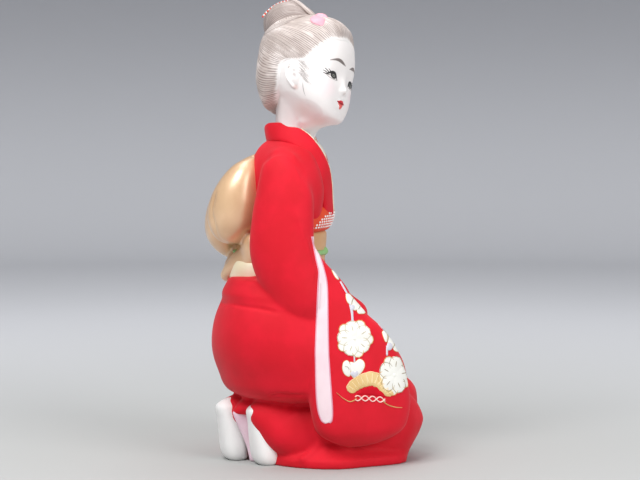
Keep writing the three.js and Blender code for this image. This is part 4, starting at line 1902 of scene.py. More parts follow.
class Hair:
    """Hair combed back from the face and up from the nape, and the knot that it is gathered in."""

    CENTRE = np.array([0.0, 0.0, 10.0])
    UNDER = np.array([0.0, -60.0, 108.0])  # where the strands meet under the knot
    STRANDS = 90  # on each side of the head
    EDGE = (
        (0.0, 0, 86.5, 62),
        (0.06, 14, 86, 60),
        (0.12, 30.7, 84.4, 54.2),
        (0.18, 46.8, 79.1, 49.7),
        (0.25, 66.8, 69.9, 31.3),
        (0.32, 79.9, 57.7, 13.1),
        (0.38, 86.4, 46.5, -4.8),
        (0.43, 89.5, 39, -9),
        (0.47, 91.5, 31, -10),
        (0.51, 93, 22, -9),
        (0.55, 94, 13, -8),
        (0.6, 95, 3, -7),
        (0.66, 95.3, -8, -9),
        (0.71, 94.4, -17, -18),
        (0.79, 86.3, -20, -48.8),
        (0.87, 63.9, -30.5, -74),
        (0.94, 40, -45, -98),
        (1.0, 0, -58, -106),
    )
    PAST = (  # places that the strands are drawn towards on their way
        (0.0, 0, 60, 110),
        (0.12, 50, 50, 88),
        (0.25, 84, 10, 66),
        (0.32, 92, -8, 48),
        (0.38, 96, -16, 38),
        (0.43, 97, -16, 33),
        (0.47, 97, -18, 28),
        (0.51, 97, -20, 23),
        (0.55, 97, -22, 18),
        (0.6, 96, -26, 12),
        (0.66, 92, -42, 4),
        (0.71, 84, -64, -14),
        (0.79, 66, -86, -50),
        (0.87, 46, -96, -68),
        (0.94, 24, -100, -80),
        (1.0, 0, -104, -84),
    )
    KNOT = (
        (0.0, 0, 8, 121),
        (0.06, 34, 4, 117),
        (0.12, 60, -26, 98),
        (0.18, 66, -52, 84),
        (0.25, 60, -78, 76),
        (0.32, 46, -94, 72),
        (0.4, 34, -104, 68),
        (0.5, 26, -110, 64),
        (0.7, 14, -114, 62),
        (1.0, 0, -115, 61),
    )

    def __init__(self, scale: Scale) -> None:
        """Keeps the scale.

        Args:
            scale: turns shares into metres.
        """
        self.scale = scale
        self.skull = Shell(SKULL_ROWS, (0.06, 0.06), 2.35)
        self.cap = Shell(CAP_ROWS, (0.08, 0.06), 2.4)

    def ways(self, table: Rows, side: Array) -> Array:
        """Unit directions from the centre to the places of a table, on both sides of the head.

        Args:
            table: places on her right hand side, from the brow to the nape.
            side: from -1 at the nape over 0 at the brow to 1 at the nape again.

        Returns:
            One direction for each value of `side`.
        """
        local = smooth(table, np.abs(side))
        local[:, 0] *= np.sign(side)
        local -= self.CENTRE
        return local / np.linalg.norm(local, axis=1, keepdims=True)

    def sheet(self) -> Net:
        """The combed hair: a sheet with ridges along its strands, closed on its inner side."""
        columns, rows, inner = 5 * 2 * self.STRANDS, 60, 6
        side = -1 + 2 * np.arange(columns) / columns
        way = np.linspace(0, 1.3, rows)
        s, t = (v.ravel() for v in np.meshgrid(side, way, indexing="xy"))
        start, past, stop = (self.ways(table, s) for table in (self.EDGE, self.PAST, self.KNOT))
        at = np.minimum(t, 1)[:, None]
        line = (1 - at) ** 2 * start + 2 * at * (1 - at) * past + at**2 * stop
        under = self.UNDER - self.CENTRE
        line += (np.maximum(t - 1, 0) * 3)[:, None] * (under / np.linalg.norm(under) - line)
        line /= np.linalg.norm(line, axis=1, keepdims=True)
        skull, cap = self.skull.reach(self.CENTRE, line), self.cap.reach(self.CENTRE, line)
        rise = ease(t / 0.25)
        reach = (1 - rise) * (skull - 1.6 + 50 * np.minimum(t, 0.06)) + rise * np.maximum(cap, skull + 2.5)
        strand = s * self.STRANDS
        comb = np.abs(np.sin(np.pi * strand)) ** 0.7
        uneven = noise(strand + self.STRANDS, 5, 2 * self.STRANDS)
        reach += ease(t / 0.15) * (0.35 * comb + 0.7 * uneven - 0.5)
        outer = self.CENTRE + line * reach[:, None]
        picked = np.round(np.linspace(rows - 1, 0, inner)).astype(int)
        under = (line * (np.minimum(reach, skull) - 4)[:, None]).reshape(rows, columns, 3)[picked]
        points = np.concatenate([outer, self.CENTRE + under.reshape(-1, 3)])
        whole = np.concatenate([np.arange(rows), picked])
        traits = {
            "strand": np.tile(side * self.STRANDS, rows + inner),
            "along": np.repeat(way[whole], columns),
        }
        quads = grid(rows + inner, columns, round_rows=True, round_columns=True)
        net = Net(points=HEAD.out(points), quads=quads, traits=traits)
        return net if volume(net) > 0 else net.flipped()

    def knot(self) -> Net:
        """The knot: strands that run from the back of the head over the top and meet in front."""
        form = limb(
            HEAD,
            [
                [0, -120, 84, 30, 27],
                [0, -98, 99, 46, 42],
                [0, -62, 112, 52, 44],
                [0, -30, 119, 44, 36],
                [0, -4, 124, 24, 16],
            ],
            ends=(0.4, 0.4),
        )
        net = form.net(120, 320)
        local = HEAD.into(net.points)
        low, high = np.array([0.0, -116.0, 60.0]), np.array([0.0, 4.0, 122.0])
        axis = (high - low) / np.linalg.norm(high - low)
        away = local - low
        along = away @ axis
        spread = away - along[:, None] * axis
        angle = np.arctan2(spread[:, 0], spread[:, 2])
        strand = angle / (2 * np.pi) * 120
        uneven = noise(strand + 60, 9, 120)
        thin = ease(np.linalg.norm(spread, axis=1) / 14)
        out = local - (low + along[:, None] * axis)
        out /= np.maximum(np.linalg.norm(out, axis=1, keepdims=True), 1e-6)
        local = local + out * (thin * (1.2 * uneven - 0.6))[:, None]
        traits = {"strand": strand + 300, "along": 0.4 + 0.5 * along / 130}
        return replace(net, points=HEAD.out(local), traits=traits)

    @staticmethod
    def locks() -> Net:
        """A flat lock along the foot of the knot on each side, and a lighter one over its front."""
        foot = [
            [50, -98, 58, 1.6, 1.2],
            [78, -72, 62, 5, 3.6],
            [82, -43, 75, 6, 4],
            [74, -19, 90, 6, 4],
            [61, -3, 101, 5, 3.5],
            [48, 12, 108, 3, 2.5],
        ]
        over = [
            [16, -62, 155, 9, 5],
            [22, -42, 148, 9, 5],
            [20, -24, 137, 8, 4.5],
            [15, -8, 124, 5, 4],
            [10, 4, 117, 3, 3],
        ]
        rings, sides = 60, 48
        nets = []
        for rows, side in ((foot, (0.4, 0.4, 1)), (over, (1, -0.4, 0))):
            for chosen, way in ((rows, side), (mirrored(rows), (-side[0], *side[1:]))):
                nets.append(limb(HEAD, chosen, side=way, ends=(0.1, 0.1)).net(rings, sides))
        strand = np.concatenate([np.tile(np.arange(sides) * 12 / sides, rings - 1), [0, 0]])
        along = np.concatenate([np.repeat(np.linspace(0.4, 0.9, rings - 1), sides), [0.4, 0.9]])
        traits = {"strand": np.tile(strand, len(nets)) + 500, "along": np.tile(along, len(nets))}
        return replace(joined(nets), traits=traits)

    def tie(self) -> None:
        """A string of small beads over the back of the knot, white and red in turn."""
        route = [[46, -108, 108], [40, -100, 124], [33, -89, 138], [25, -77, 148], [14, -66, 154], [0, -60, 157]]
        mirror = [[-right, *rest] for right, *rest in reversed(route[:-1])]
        numbered = [[k, *row] for k, row in enumerate([*route, *mirror])]
        spots = smooth(numbered, np.linspace(0, len(numbered) - 1, 46))
        for name, finish, slot, chosen in (
            ("tie_red", TIE_RED, "ribbon", spots[::2]),
            ("tie_white", WHITE, "ribbon", spots[1::2]),
        ):
            beads = [
                limb(HEAD, [[r, a, u - 2.2, 2.2, 2.2], [r, a, u + 2.2, 2.2, 2.2]], ends=(0.5, 0.5)).net(8, 12)
                for r, a, u in chosen
            ]
            whole = joined(beads)
            dressed(to_object(name, whole.moved(self.scale.metres(whole.points))), finish.make(), slot)

    def build(self) -> None:
        """The combed hair, the knot with its locks, and the tie."""
        for name, net, finish in (
            ("hair", self.sheet(), HAIR),
            ("hair_knot", self.knot(), KNOT_HAIR),
            ("hair_locks", self.locks(), HAIR),
        ):
            piece = to_object(name, net.moved(self.scale.metres(net.points)))
            if name == "hair_knot":
                groove = [[36, -66, 150], [33, -46, 142], [31, -34, 137], [25, -23, 129], [14, -10, 121]]
                twin = [[-right, *rest] for right, *rest in groove]
                carve(piece, [Crease(HEAD, path, 2.4, 4, sharp=3) for path in (groove, twin)], self.scale)
            dressed(piece, finish.make(), "hair")
        self.tie()


class Ribbon:
    """The pink petals before the knot."""

    def __init__(self, scale: Scale) -> None:
        """Keeps the scale.

        Args:
            scale: turns shares into metres.
        """
        self.scale = scale

    def build(self) -> None:
        """Two petals on each side, as one piece."""
        lobes = [
            ([[46, 18, 108, 6, 5], [57, 28, 99, 14, 6], [66, 40, 89, 17, 6], [68, 53, 78, 9, 4]], (-0.7, 0.6, 0.36)),
            ([[36, 14, 114, 6, 4], [40, 30, 111, 10, 5], [42, 48, 104, 6, 4]], (-0.8, 0.3, 0.5)),
        ]
        nets = []
        for rows, side in lobes:
            for chosen, way in ((rows, side), (mirrored(rows), (-side[0], *side[1:]))):
                nets.append(limb(HEAD, chosen, side=way, ends=(0.4, 0.4)).net(32, 40))
        dressed(Clay(step=0.4, passes=3).melt("ribbon", nets, self.scale), ROSE.make(), "ribbon")


def petal(reach: float, half: float, thick: float, back: float = 0.0) -> Net:
    """A petal that points up: rounded at its far end and narrow at its near end.

    Args:
        reach: how far its tip is from the flower's middle.
        half: its half width.
        thick: its lift.
        back: where it starts.

    Returns:
        The sketch.
    """
    turn = 2 * np.pi * np.arange(36) / 36
    rise = (1 - np.cos(turn)) / 2
    wide = half * np.sin(turn) * (0.55 + 0.45 * rise) * 1.08
    return pad(np.column_stack([wide, back + (reach - back) * rise]), thick, middle=(0, back + 0.62 * (reach - back)))


def petal_edge(reach: float, half: float, share: float, width: float, back: float = 0.0) -> Net:
    """The painted edge of a petal, over a share of the way round it from its tip."""
    turn = np.pi + np.linspace(-share * np.pi, share * np.pi, 15)
    rise = (1 - np.cos(turn)) / 2
    wide = half * np.sin(turn) * (0.55 + 0.45 * rise) * 1.08
    taper = width * np.sqrt(np.clip(1 - np.linspace(-1, 1, 15) ** 4, 0.02, 1))
    return stroke(np.column_stack([wide, back + (reach - back) * rise, taper]), thick=0.42, step=0.4)


class Blossoms:
    """The motifs of the sleeves: plum blossoms on hanging stems, a pine bough and knotted cords.

    Everything is in millimetres across and above from the middle of the sleeve, as it is seen from her right.
    """

    def __init__(self) -> None:
        """Starts with empty lists of sketches."""
        self.white: list[Net] = []
        self.gold: list[Net] = []
        self.outline: list[Net] = []
        self.faint: list[Net] = []
        self.bough: list[Net] = []
        self.grey: list[Net] = []
        self.pale: list[Net] = []
        self.deep: list[Net] = []
        self.cords: list[Net] = []

    def open_flower(
        self, lines: list[Net], across: float, above: float, size: float, turn: float, squash: float
    ) -> None:
        """A flower seen from before: five petals over five, with painted edges and a small heart.

        Args:
            lines: the sketches that its inner lines join.
            across: where its middle is.
            above: how high its middle is.
            size: its radius.
            turn: degrees that it is turned by.
            squash: how narrow it looks.
        """
        put = {"across": across, "above": above, "squash": squash}
        for k in range(5):
            way = turn + 72 * k
            heart = stroke([[0, 0.42, 0.012], [0, 0.54, 0.03], [0, 0.68, 0.012]], thick=0.62, step=0.04)
            for group, sketch, angle in (
                (self.white, petal(1.0, 0.36, 0.3), way + 36),
                (self.gold, petal_edge(1.0, 0.36, 0.4, 0.018), way + 36),
                (self.white, petal(0.93, 0.47, 0.46), way),
                (lines, petal_edge(0.93, 0.47, 0.7, 0.016), way),
                (lines, heart, way),
            ):
                group.append(self.placed(sketch, angle, size, **put))
        centre = 2 * np.pi * np.arange(20) / 20
        dot = pad(0.12 * np.column_stack([np.cos(centre), np.sin(centre)]), 0.6, rings=3)
        self.white.append(self.placed(dot, 0, size, **put))

    @staticmethod
    def placed(sketch: Net, way: float, size: float, across: float, above: float, squash: float) -> Net:
        """A sketch turned by degrees about the flower's middle, then squashed and put in its place."""
        turned = moved(sketch, 0, 0, turn=way)
        return moved(turned, across, above, size=size, squash=squash)

    def hanging(self, petals: Sequence[Rows], marks: Sequence[Rows], calyx: Rows, stems: Sequence[Rows]) -> None:
        """A flower seen from the side.

        Args:
            petals: outlines of its petals.
            marks: lines painted on them.
            calyx: outline of the grey cup.
            stems: strokes of the stem.
        """
        for outline in petals:
            line = closed_line(outline, 40)
            self.white.append(pad(line, 0.42))
            edge = np.column_stack([line, np.full(len(line), 0.14)])
            self.gold.append(stroke([*edge, edge[0]], thick=0.2, step=0.4))
        self.outline += [stroke(rows, thick=0.6, step=0.3) for rows in marks]
        if len(calyx):
            self.grey.append(pad(closed_line(calyx, 32), 0.6))
        self.grey += [stroke(rows, thick=0.3) for rows in stems]

    def flowers(self) -> None:
        """The two open flowers, the two hanging ones, the bud and the petal at the sleeve's edge."""
        self.open_flower(self.faint, -3.2, 6.8, 11.4, 14, 0.97)
        self.open_flower(self.outline, 20.2, -14.8, 12.0, -8, 0.82)
        self.hanging(
            petals=[
                [(-8.4, 32.9), (-6.9, 33.4), (-5.2, 32.0), (-4.0, 30.2), (-4.6, 27.4), (-6.3, 27.0), (-7.9, 29.2)],
                [(-3.2, 30.6), (-0.6, 28.3), (2.1, 25.0), (3.3, 22.9), (2.7, 21.6), (0.9, 21.3), (-1.6, 22.3)],
                [(-4.4, 30.6), (-2.2, 29.2), (-0.4, 27.2), (-0.3, 25.6), (-1.4, 23.8), (-3.5, 23.5), (-5.0, 27.0)],
            ],
            marks=[
                [(-3.8, 30.6, 0.1), (-4.6, 29.4, 0.2), (-5.0, 28.2, 0.18), (-5.0, 27.2, 0.06)],
                [(-0.4, 27.8, 0.1), (-0.1, 26.4, 0.2), (-0.6, 24.8, 0.2), (-1.5, 23.8, 0.08)],
            ],
            calyx=[(-5.6, 26.6), (-3.4, 26.4), (-3.2, 24.6), (-4.3, 23.2), (-5.4, 24.0)],
            stems=[
                [(-6.0, 26.9, 0.5), (-4.9, 23.2, 0.75), (-4.6, 20.4, 0.65), (-4.4, 17.0, 0.7)],
                [(-11.6, 40.4, 0.4), (-9.4, 36.5, 0.5), (-7.6, 33.2, 0.45)],
            ],
        )
        self.hanging(
            petals=[
                [(13.0, 10.6), (14.4, 11.4), (16.0, 8.8), (15.9, 5.4), (15.0, 4.8), (13.9, 7.2)],
                [(16.2, 8.0), (17.8, 8.2), (19.6, 5.4), (20.3, 2.6), (18.6, 1.2), (16.4, 3.6)],
                [(20.2, 4.4), (21.6, 3.4), (23.0, 0.6), (22.6, -1.0), (20.6, -0.6), (19.4, 1.2)],
            ],
            marks=[
                [(16.0, 9.0, 0.1), (16.4, 7.2, 0.18), (16.0, 4.8, 0.08)],
                [(20.6, 4.4, 0.1), (20.0, 2.8, 0.18), (19.2, 1.4, 0.08)],
            ],
            calyx=[(16.4, 4.6), (18.4, 4.2), (19.2, 1.6), (17.6, -0.2), (15.6, 0.6)],
            stems=[
                [(16.0, 2.6, 0.6), (15.9, -0.2, 0.55), (15.9, -3.2, 0.5)],
                [(12.4, 17.2, 0.35), (13.3, 14.8, 0.45), (14.2, 11.6, 0.4)],
            ],
        )
        self.hanging(
            petals=[
                [(-9.9, -7.4), (-7.9, -6.0), (-6.2, -7.4), (-5.4, -11.0), (-6.0, -15.4), (-8.8, -14.6), (-10.4, -11.2)],
                [(-6.2, -7.6), (-3.2, -7.2), (-0.4, -5.2), (2.3, -6.8), (2.6, -10.2), (-0.2, -14.4), (-4.4, -16.2)],
            ],
            marks=[[(-9.0, -9.6, 0.1), (-7.4, -10.0, 0.22), (-6.4, -11.6, 0.1)]],
            calyx=[(-6.0, -14.0), (-4.2, -12.2), (-3.2, -13.2), (-1.4, -11.8), (-0.8, -13.8), (-3.2, -16.4)],
            stems=[[(-3.4, -3.2, 0.5), (-3.3, -5.2, 0.4), (-3.2, -7.0, 0.5)]],
        )
        self.hanging(
            petals=[[(-16.6, 46.8), (-15.4, 46.6), (-13.0, 43.0), (-12.6, 41.4), (-14.4, 42.6)]],
            marks=[],
            calyx=[],
            stems=[],
        )

    def pine(self) -> None:
        """The gold pine bough: an arch with a scalloped edge, needles, and the deep red under it."""
        spine = np.array(
            [
                [-6.6, -24.6, 3.0],
                [-3.4, -20.9, 3.4],
                [0.9, -18.4, 3.7],
                [6.4, -16.9, 4.1],
                [11.0, -18.3, 3.9],
                [15.0, -21.8, 3.7],
                [18.8, -26.6, 3.3],
            ]
        )
        numbered = np.column_stack([np.arange(len(spine)), spine])
        fine = smooth(numbered, np.linspace(0, len(spine) - 1, 71))
        fine[:, 2] += 0.3 * np.abs(np.sin(np.linspace(0, 9 * np.pi, 71)))
        fine[:, 2] *= np.sqrt(np.clip(1 - np.linspace(-1, 1, 71) ** 12, 0.2, 1))
        self.bough.append(stroke(fine, thick=0.3, step=0.5, columns=11))
        ways = np.gradient(fine[:, :2], axis=0)
        ways /= np.linalg.norm(ways, axis=1, keepdims=True)
        out = np.column_stack([-ways[:, 1], ways[:, 0]])
        for k in range(5, 68, 3):
            foot = fine[k, :2] - out[k] * fine[k, 2] * 0.6
            lean = ways[k] * (0.9 if (k // 3) % 2 else -0.9)
            tip = fine[k, :2] + out[k] * fine[k, 2] * 0.72 + lean
            middle = (foot + tip) / 2 + lean * 0.2
            rows = [[*foot, 0.1], [*middle, 0.2], [*tip, 0.1]]
            self.pale.append(stroke(rows, thick=0.44, step=0.5))
        edge = [[*(f[:2] + o * f[2] * 0.96), 0.16] for f, o in zip(fine[2:-2], out[2:-2])]
        self.pale.append(stroke(edge, thick=0.36, step=0.5))
        moon = [(-1.5, -26.0), (-0.3, -24.6), (1.2, -22.4), (2.7, -22.7), (3.8, -21.3), (5.4, -22.0), (7.1, -20.5)]
        moon += [(8.8, -22.1), (10.2, -21.4), (11.6, -23.6), (13.3, -24.4), (14.6, -26.0), (14.6, -27.4)]
        moon += [(11.4, -27.1), (5.2, -26.4)]
        self.deep.append(pad(closed_line(moon, 120), 0.42, middle=(6.4, -24.6)))

    def knots(self) -> None:
        """Interlaced cords under the bough, and their long ends."""
        along = np.linspace(0, 1, 61)
        level = -28.3 - 1.2 * along**2
        for phase in (1.0, -1.0):
            wave = phase * 1.5 * np.sin(4 * np.pi * along + 0.5)
            rows = np.column_stack([-2.9 + 17.6 * along, level + wave, np.full(61, 0.32)])
            self.cords.append(stroke(rows, thick=0.5, step=0.35))
        for rows in (
            [(-13.9, -25.0, 0.08), (-10.3, -28.1, 0.18), (-6.3, -30.3, 0.28), (-3.6, -29.7, 0.3), (-2.0, -28.2, 0.2)],
            [(13.0, -29.6, 0.25), (16.1, -32.1, 0.3), (20.7, -33.6, 0.26), (24.7, -33.9, 0.16)],
        ):
            self.gold.append(stroke(rows, thick=0.4, step=0.4))

    def build(self, easel: Easel, side: str) -> None:
        """Draws every motif and lays it on a sleeve.

        Args:
            easel: stands before the sleeve.
            side: which sleeve it is.
        """
        self.flowers()
        self.pine()
        self.knots()
        for name, sketches, finish, slot in (
            ("bough", self.bough, BOUGH_GOLD, "motif_gold"),
            ("deep", self.deep, DEEP_RED, "kimono"),
            ("white", self.white, BLOSSOM, "flower"),
            ("grey", self.grey, CALYX, "flower"),
            ("cords", self.cords, LOOPS, "flower"),
            ("gold", self.gold, GOLD, "motif_gold"),
            ("pale", self.pale, PALE_GOLD, "motif_gold"),
            ("outline", self.outline, INK_GOLD, "motif_gold"),
            ("faint", self.faint, FAINT_GOLD, "motif_gold"),
        ):
            easel.paint(f"{side}_{name}", sketches, finish, slot)


STRIP = (
    (-27.9, 66.8, 0.5),
    (-27.2, 64.2, 0.65),
    (-25.3, 56.8, 1.2),
    (-23.9, 51.5, 1.5),
    (-22.6, 46.3, 1.7),
    (-22.1, 41.0, 2.4),
    (-22.0, 35.8, 2.8),
    (-22.2, 20.0, 3.3),
    (-22.4, -1.1, 3.9),
    (-22.2, -6.3, 4.0),
    (-21.3, -25.3, 4.4),
    (-20.4, -35.8, 4.2),
    (-19.6, -41.5, 3.0),
    (-19.2, -43.0, 1.4),
)


class Face:
    """The painted face: brows, eyes with lashes, and the small red mouth.

    Everything is in shares to her right and up from the middle of the face.
    """

    def __init__(self, easel: Easel) -> None:
        """Keeps the easel.

        Args:
            easel: stands before the face.
        """
        self.easel = easel

    @staticmethod
    def both(sketches: Sequence[Net]) -> list[Net]:
        """Sketches on her right, and the same on her left."""
        turned = [s.moved(s.points * np.array([-1, 1, 1])).flipped() for s in sketches]
        return [*sketches, *turned]

    @staticmethod
    def disc(right: float, up: float, half: tuple[float, float], thick: float, cut: float = 99.0) -> Net:
        """A round spot, cut off above a level.

        Args:
            right: where its middle is.
            up: how high its middle is.
            half: its half width and half height.
            thick: its lift.
            cut: how far above its middle it ends.

        Returns:
            The sketch.
        """
        turn = 2 * np.pi * np.arange(40) / 40
        ring = np.column_stack([right + half[0] * np.cos(turn), up + np.minimum(half[1] * np.sin(turn), cut)])
        return pad(ring, thick, rings=4)

    def eyes(self) -> None:
        """Upper lids with lashes, irises and lower lids."""
        lid = [
            [57.6, -25.4, 0.6],
            [51.0, -20.2, 1.8],
            [44.4, -16.4, 2.4],
            [37.6, -15.2, 2.5],
            [31.8, -17.2, 2.4],
            [28.4, -21.8, 1.9],
            [26.8, -26.2, 1.0],
            [24.6, -29.6, 0.3],
        ]
        lashes = [
            [[55.5, -24.2, 1.0], [59.6, -23.4, 0.9], [63.6, -23.4, 0.4]],
            [[53.6, -22.4, 1.0], [58.8, -19.2, 0.9], [64.4, -17.8, 0.4]],
            [[50.6, -19.8, 1.0], [56.2, -15.4, 0.9], [61.6, -12.4, 0.4]],
            [[46.4, -17.0, 0.9], [50.0, -13.8, 0.8], [53.4, -11.6, 0.4]],
        ]
        black = [stroke(rows, thick=0.14, step=1.0) for rows in (lid, *lashes)]
        black.append(self.disc(37.8, -22.2, (9.3, 6.8), 0.1, cut=5.8))
        self.easel.paint("eyes", self.both(black), INK, "face_paint")
        self.easel.paint("irises", self.both([self.disc(37.8, -22.8, (4.4, 3.5), 0.16)]), PUPIL_GREY, "face_paint")
        self.easel.paint("pupils", self.both([self.disc(38.0, -22.6, (1.9, 1.5), 0.2)]), INK, "face_paint")
        under = [
            [56.4, -26.4, 0.3],
            [50.6, -28.6, 0.6],
            [44.4, -29.8, 0.7],
            [38.0, -30.2, 0.7],
            [31.0, -30.4, 0.6],
            [25.0, -30.0, 0.3],
        ]
        corner = [[55.0, -25.2, 0.6], [51.2, -24.2, 1.6], [48.2, -23.4, 1.0]]
        inner = [[29.2, -26.6, 0.6], [27.6, -28.0, 0.9], [25.6, -29.4, 0.3]]
        soft = [stroke(rows, thick=0.1, step=1.0) for rows in (under, corner, inner)]
        self.easel.paint("lower_lids", self.both(soft), EYE_GREY, "face_paint")

    def brows(self) -> None:
        """Brows that swell in the middle and fade out at both ends."""
        brow = [
            [54.0, 7.4, 0.2],
            [47.0, 10.4, 1.1],
            [40.0, 12.8, 2.1],
            [33.0, 14.0, 3.1],
            [26.0, 13.6, 3.5],
            [19.6, 12.2, 3.1],
            [14.0, 10.6, 2.1],
            [9.4, 9.2, 1.1],
            [5.6, 8.0, 0.2],
        ]
        veil = [[right, up, half + 0.8] for right, up, half in brow]
        for name, rows, lift, finish in (("brows", brow, 0.12, GREY_INK), ("brow_veils", veil, 0.07, SOFT_GREY)):
            near = stroke(rows, thick=lift, step=1.0, columns=9)
            far = stroke([[-right - 9, up, half] for right, up, half in rows], thick=lift, step=1.0, columns=9)
            self.easel.paint(name, [near, far.flipped()], finish, "face_paint")

    def mouth(self) -> None:
        """Two red lips, the lower one lighter, with a dark line between them."""
        upper = [(16.0, -71.6), (11.0, -70.4), (6.0, -68.2), (2.6, -66.6), (0.0, -67.6), (-2.6, -66.6), (-6.0, -67.6)]
        upper += [(-11.0, -70.0), (-16.0, -72.2), (-8.0, -74.6), (0.0, -76.0), (8.0, -74.6)]
        lower = [(11.0, -74.2), (0.0, -75.0), (-11.0, -74.2), (-6.4, -79.4), (-2.2, -85.4), (2.2, -85.4), (6.4, -79.4)]
        self.easel.paint("lower_lip", [pad(closed_line(lower, 60), 0.12)], LIP_LIGHT, "lip_paint")
        self.easel.paint("upper_lip", [pad(closed_line(upper, 80), 0.14)], LIP, "lip_paint")
        line = [[15.4, -72.4, 0.5], [10.0, -72.4, 0.9], [4.0, -72.8, 1.5], [0.0, -74.0, 1.7], [-4.0, -72.8, 1.5]]
        line += [[-10.0, -72.4, 0.8], [-15.0, -72.4, 0.3]]
        self.easel.paint("lip_line", [stroke(line, thick=0.22, step=1.0)], LIP_DARK, "lip_paint")

    def build(self) -> None:
        """Brows, eyes and mouth."""
        self.brows()
        self.eyes()
        self.mouth()


class Temples:
    """Fine hair painted before the ears, and the wisp that hangs there.

    Places are in shares ahead and up from the middle of the head, on both sides of it.
    """

    def __init__(self, scale: Scale) -> None:
        """Keeps the scale.

        Args:
            scale: turns shares into metres.
        """
        self.scale = scale

    def build(self, head: bpy.types.Object) -> None:
        """Paints the hair on both sides.

        Args:
            head: the piece to paint on.
        """
        fine = []
        dice = np.random.default_rng(7)
        for k in range(52):
            way = k / 51
            back = 5 + 24 * way**0.8 + 16 * dice.random()
            high = 10 - 62 * way + 8 * dice.random()
            long = 21 - 11 * way + 8 * dice.random()
            middle = [back + 0.4 * long, high - 0.3 * long, 0.34]
            fine.append([[back, high, 0.2], middle, [back + 0.8 * long, high - 0.64 * long, 0.08]])
        wisp = [[34.6, -53, 0.15], [35.1, -60, 0.7], [36.2, -68, 0.7], [38.0, -76, 0.45], [39.6, -80, 0.12]]
        sketches = [stroke(rows, thick=0.1, step=1.4, columns=3) for rows in (*fine, wisp)]
        right, ahead, up = HEAD.axes
        for name, side in (("near", right), ("far", -right)):
            origin = self.scale.metres(HEAD.out(np.zeros((1, 3))))[0] + 0.04 * side
            easel = Easel(head, origin, ahead, up, side, self.scale.share)
            easel.paint(f"{name}_temple_hair", sketches, TEMPLE_GREY, "hair")


class Figure:
    """The whole doll."""

    def __init__(self, scale: Scale) -> None:
        """Keeps the scale.

        Args:
            scale: turns shares into metres.
        """
        self.scale = scale
        self.eye = scale.metres(np.array([EYE]))[0]

    def face_easel(self, head: bpy.types.Object) -> Easel:
        """An easel that stands before the face and measures in shares."""
        right, ahead, up = FACE.axes
        origin = self.scale.metres(FACE.out(np.array([[0.0, 90.0, 0.0]])))[0]
        return Easel(head, origin, right, up, ahead, self.scale.share)

    def sleeves(self, kimono: bpy.types.Object) -> None:
        """Paints both sleeves.

        Args:
            kimono: the piece with the sleeves.
        """
        pitch = math.radians(SEEN_FROM_ABOVE)
        toward = np.array([-math.cos(pitch), 0.0, math.sin(pitch)])
        across = np.array([0.0, -1.0, 0.0])
        limits = {"depth": 0.024, "facing": 0.03}
        near = Easel(kimono, np.array(NEAR_SLEEVE), across, np.cross(toward, across), toward, eye=self.eye, **limits)
        strip = stroke(STRIP, thick=0.2, step=0.8, columns=21)
        # painted shade: darker pink strokes along both edges of the pale strip
        rim = [stroke([[x + side * half, y, 0.4] for x, y, half in STRIP], thick=0.24, step=0.8) for side in (-1, 1)]
        near.paint("near_strip", [strip], STRIP_PINK, "lining")
        near.paint("near_strip_edge_shade", rim, PINK_EDGE_SHADE, "lining")
        Blossoms().build(near, "near")
        right, ahead, up = HIPS.axes
        origin = self.scale.metres(HIPS.out(np.array([FAR_SLEEVE])))[0]
        far = Easel(kimono, origin, ahead, up, -right, 0.76 * MM, depth=0.04, facing=0.12)
        far.paint("far_strip", [strip], STRIP_PINK, "lining")
        far.paint("far_strip_edge_shade", rim, PINK_EDGE_SHADE, "lining")
        Blossoms().build(far, "far")

    def build(self) -> None:
        """Builds each part of the doll in order."""
        kimono = Kimono(self.scale).build()
        self.sleeves(kimono)
        collar = Collar(self.scale)
        collar.build()
        collar.opening(kimono)
        Bow(self.scale).build()
        Sash(self.scale).build()
        Feet(self.scale).build()
        Hands(self.scale).build()
        head = Head(self.scale).build()
        Face(self.face_easel(head)).build()
        Temples(self.scale).build(head)
        Hair(self.scale).build()
        Ribbon(self.scale).build()


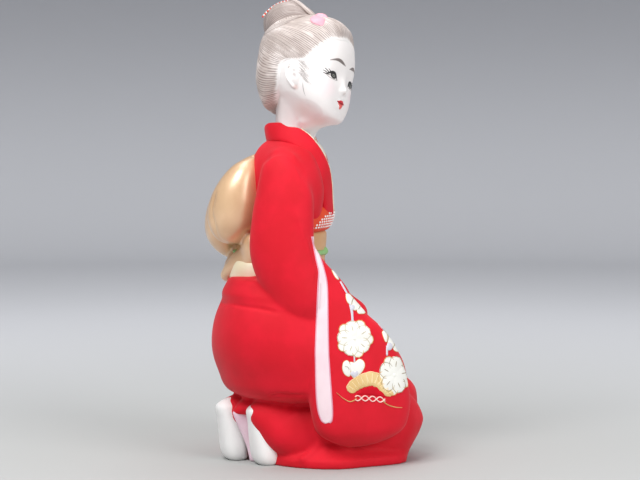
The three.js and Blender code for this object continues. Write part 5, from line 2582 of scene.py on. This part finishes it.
class Studio:
    """A pale floor that runs up into a wall all round, with painted shade that darkens the wall towards its top and the
    floor round the doll, soft lights, and the camera.
    """

    def __init__(self, scale: Scale) -> None:
        """Keeps the scale.

        Args:
            scale: turns shares into metres.
        """
        self.scale = scale

    def floor(self) -> None:
        """A round floor whose edge sweeps up: height is nothing out to the foot of the wall, then an ease to its top."""
        rings, sides = 80, 96
        out = np.linspace(0, 1, rings) ** 1.5 * 3.4
        height = 2.6 * ease((out - 1.7) / 1.7) ** 1.2
        turn = 2 * np.pi * np.arange(sides) / sides
        points = np.stack(
            [
                np.outer(out, np.cos(turn)),
                np.outer(out, np.sin(turn)),
                np.repeat(height[:, None], sides, axis=1),
            ],
            axis=-1,
        ).reshape(-1, 3)
        net = Net(points=points, quads=grid(rings, sides, round_columns=True)).flipped()
        made = to_object("floor", net)
        material = bpy.data.materials.new("Floor")
        material.use_nodes = True
        kit = Nodes(material)
        split = kit.tree.nodes.new("ShaderNodeSeparateXYZ")
        kit.join(kit.place, split.inputs["Vector"])
        # painted shade: the wall is painted darker towards its top, and the floor darker round the doll
        wall = kit.blend(split.outputs["Z"], tint(221, 222, 226), tint(176, 177, 182), 0.05, 0.5)
        near = kit.near((0.0, 0.0, 0.0), 1.0)
        kit.join(kit.mix(near, wall, tint(176, 177, 175)), kit.shader.inputs["Base Color"])
        kit.shader.inputs["Roughness"].default_value = 0.9
        made.data.materials.append(material)

    def lamp(self, name: str, place: Sequence[float], size: float, power: float) -> None:
        """A square soft light that faces the doll's middle.

        Args:
            name: the light's name.
            place: where it hangs, in metres.
            size: its side, in metres.
            power: in watts.
        """
        light = bpy.data.lights.new(name, "AREA")
        light.size = size
        light.energy = power
        made = bpy.data.objects.new(name, light)
        bpy.context.scene.collection.objects.link(made)
        target = np.array([0.0, 0.0, 0.14])
        away = np.array(place, float) - target
        away /= np.linalg.norm(away)
        across = np.cross([0.0, 0.0, 1.0], away)
        across /= np.linalg.norm(across)
        above = np.cross(away, across)
        turn = np.eye(4)
        turn[:3, 0], turn[:3, 1], turn[:3, 2], turn[:3, 3] = across, above, away, place
        made.matrix_world = Matrix(turn.tolist())

    def camera(self) -> None:
        """The camera at the doll's right hand side, a little above her middle."""
        eye = self.scale.metres(np.array([EYE]))[0]
        pitch = math.radians(SEEN_FROM_ABOVE)
        lens = bpy.data.cameras.new("camera")
        lens.sensor_width = 36.0
        lens.lens = 110.6
        made = bpy.data.objects.new("camera", lens)
        bpy.context.scene.collection.objects.link(made)
        right = np.array([0.0, -1.0, 0.0])
        back = np.array([-math.cos(pitch), 0.0, math.sin(pitch)])
        turn = np.eye(4)
        turn[:3, 0], turn[:3, 1], turn[:3, 2], turn[:3, 3] = right, np.cross(back, right), back, eye
        made.matrix_world = Matrix(turn.tolist())
        bpy.context.scene.camera = made

    def build(self) -> None:
        """Floor, lights, sky and camera."""
        self.floor()
        self.lamp("key", (-0.8, 0.5, 1.3), 0.7, 17.5)
        self.lamp("fill", (-1.1, -1.0, 0.8), 0.8, 12.0)
        self.lamp("top", (0.2, 0.0, 1.4), 0.9, 8.5)
        world = bpy.data.worlds.new("World")
        world.use_nodes = True
        sky = world.node_tree.nodes["Background"]
        sky.inputs["Color"].default_value = (0.95, 0.97, 1.0, 1.0)
        sky.inputs["Strength"].default_value = 0.4
        bpy.context.scene.world = world
        bpy.context.scene.view_settings.view_transform = "Standard"
        self.camera()


def main() -> None:
    """Builds the doll and its studio."""
    logging.basicConfig(level=logging.INFO, format="%(name)s: %(message)s")
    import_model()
    scale = Scale.of_frame()
    Studio(scale).build()
    Figure(scale).build()


if __name__ == "__main__":
    main()
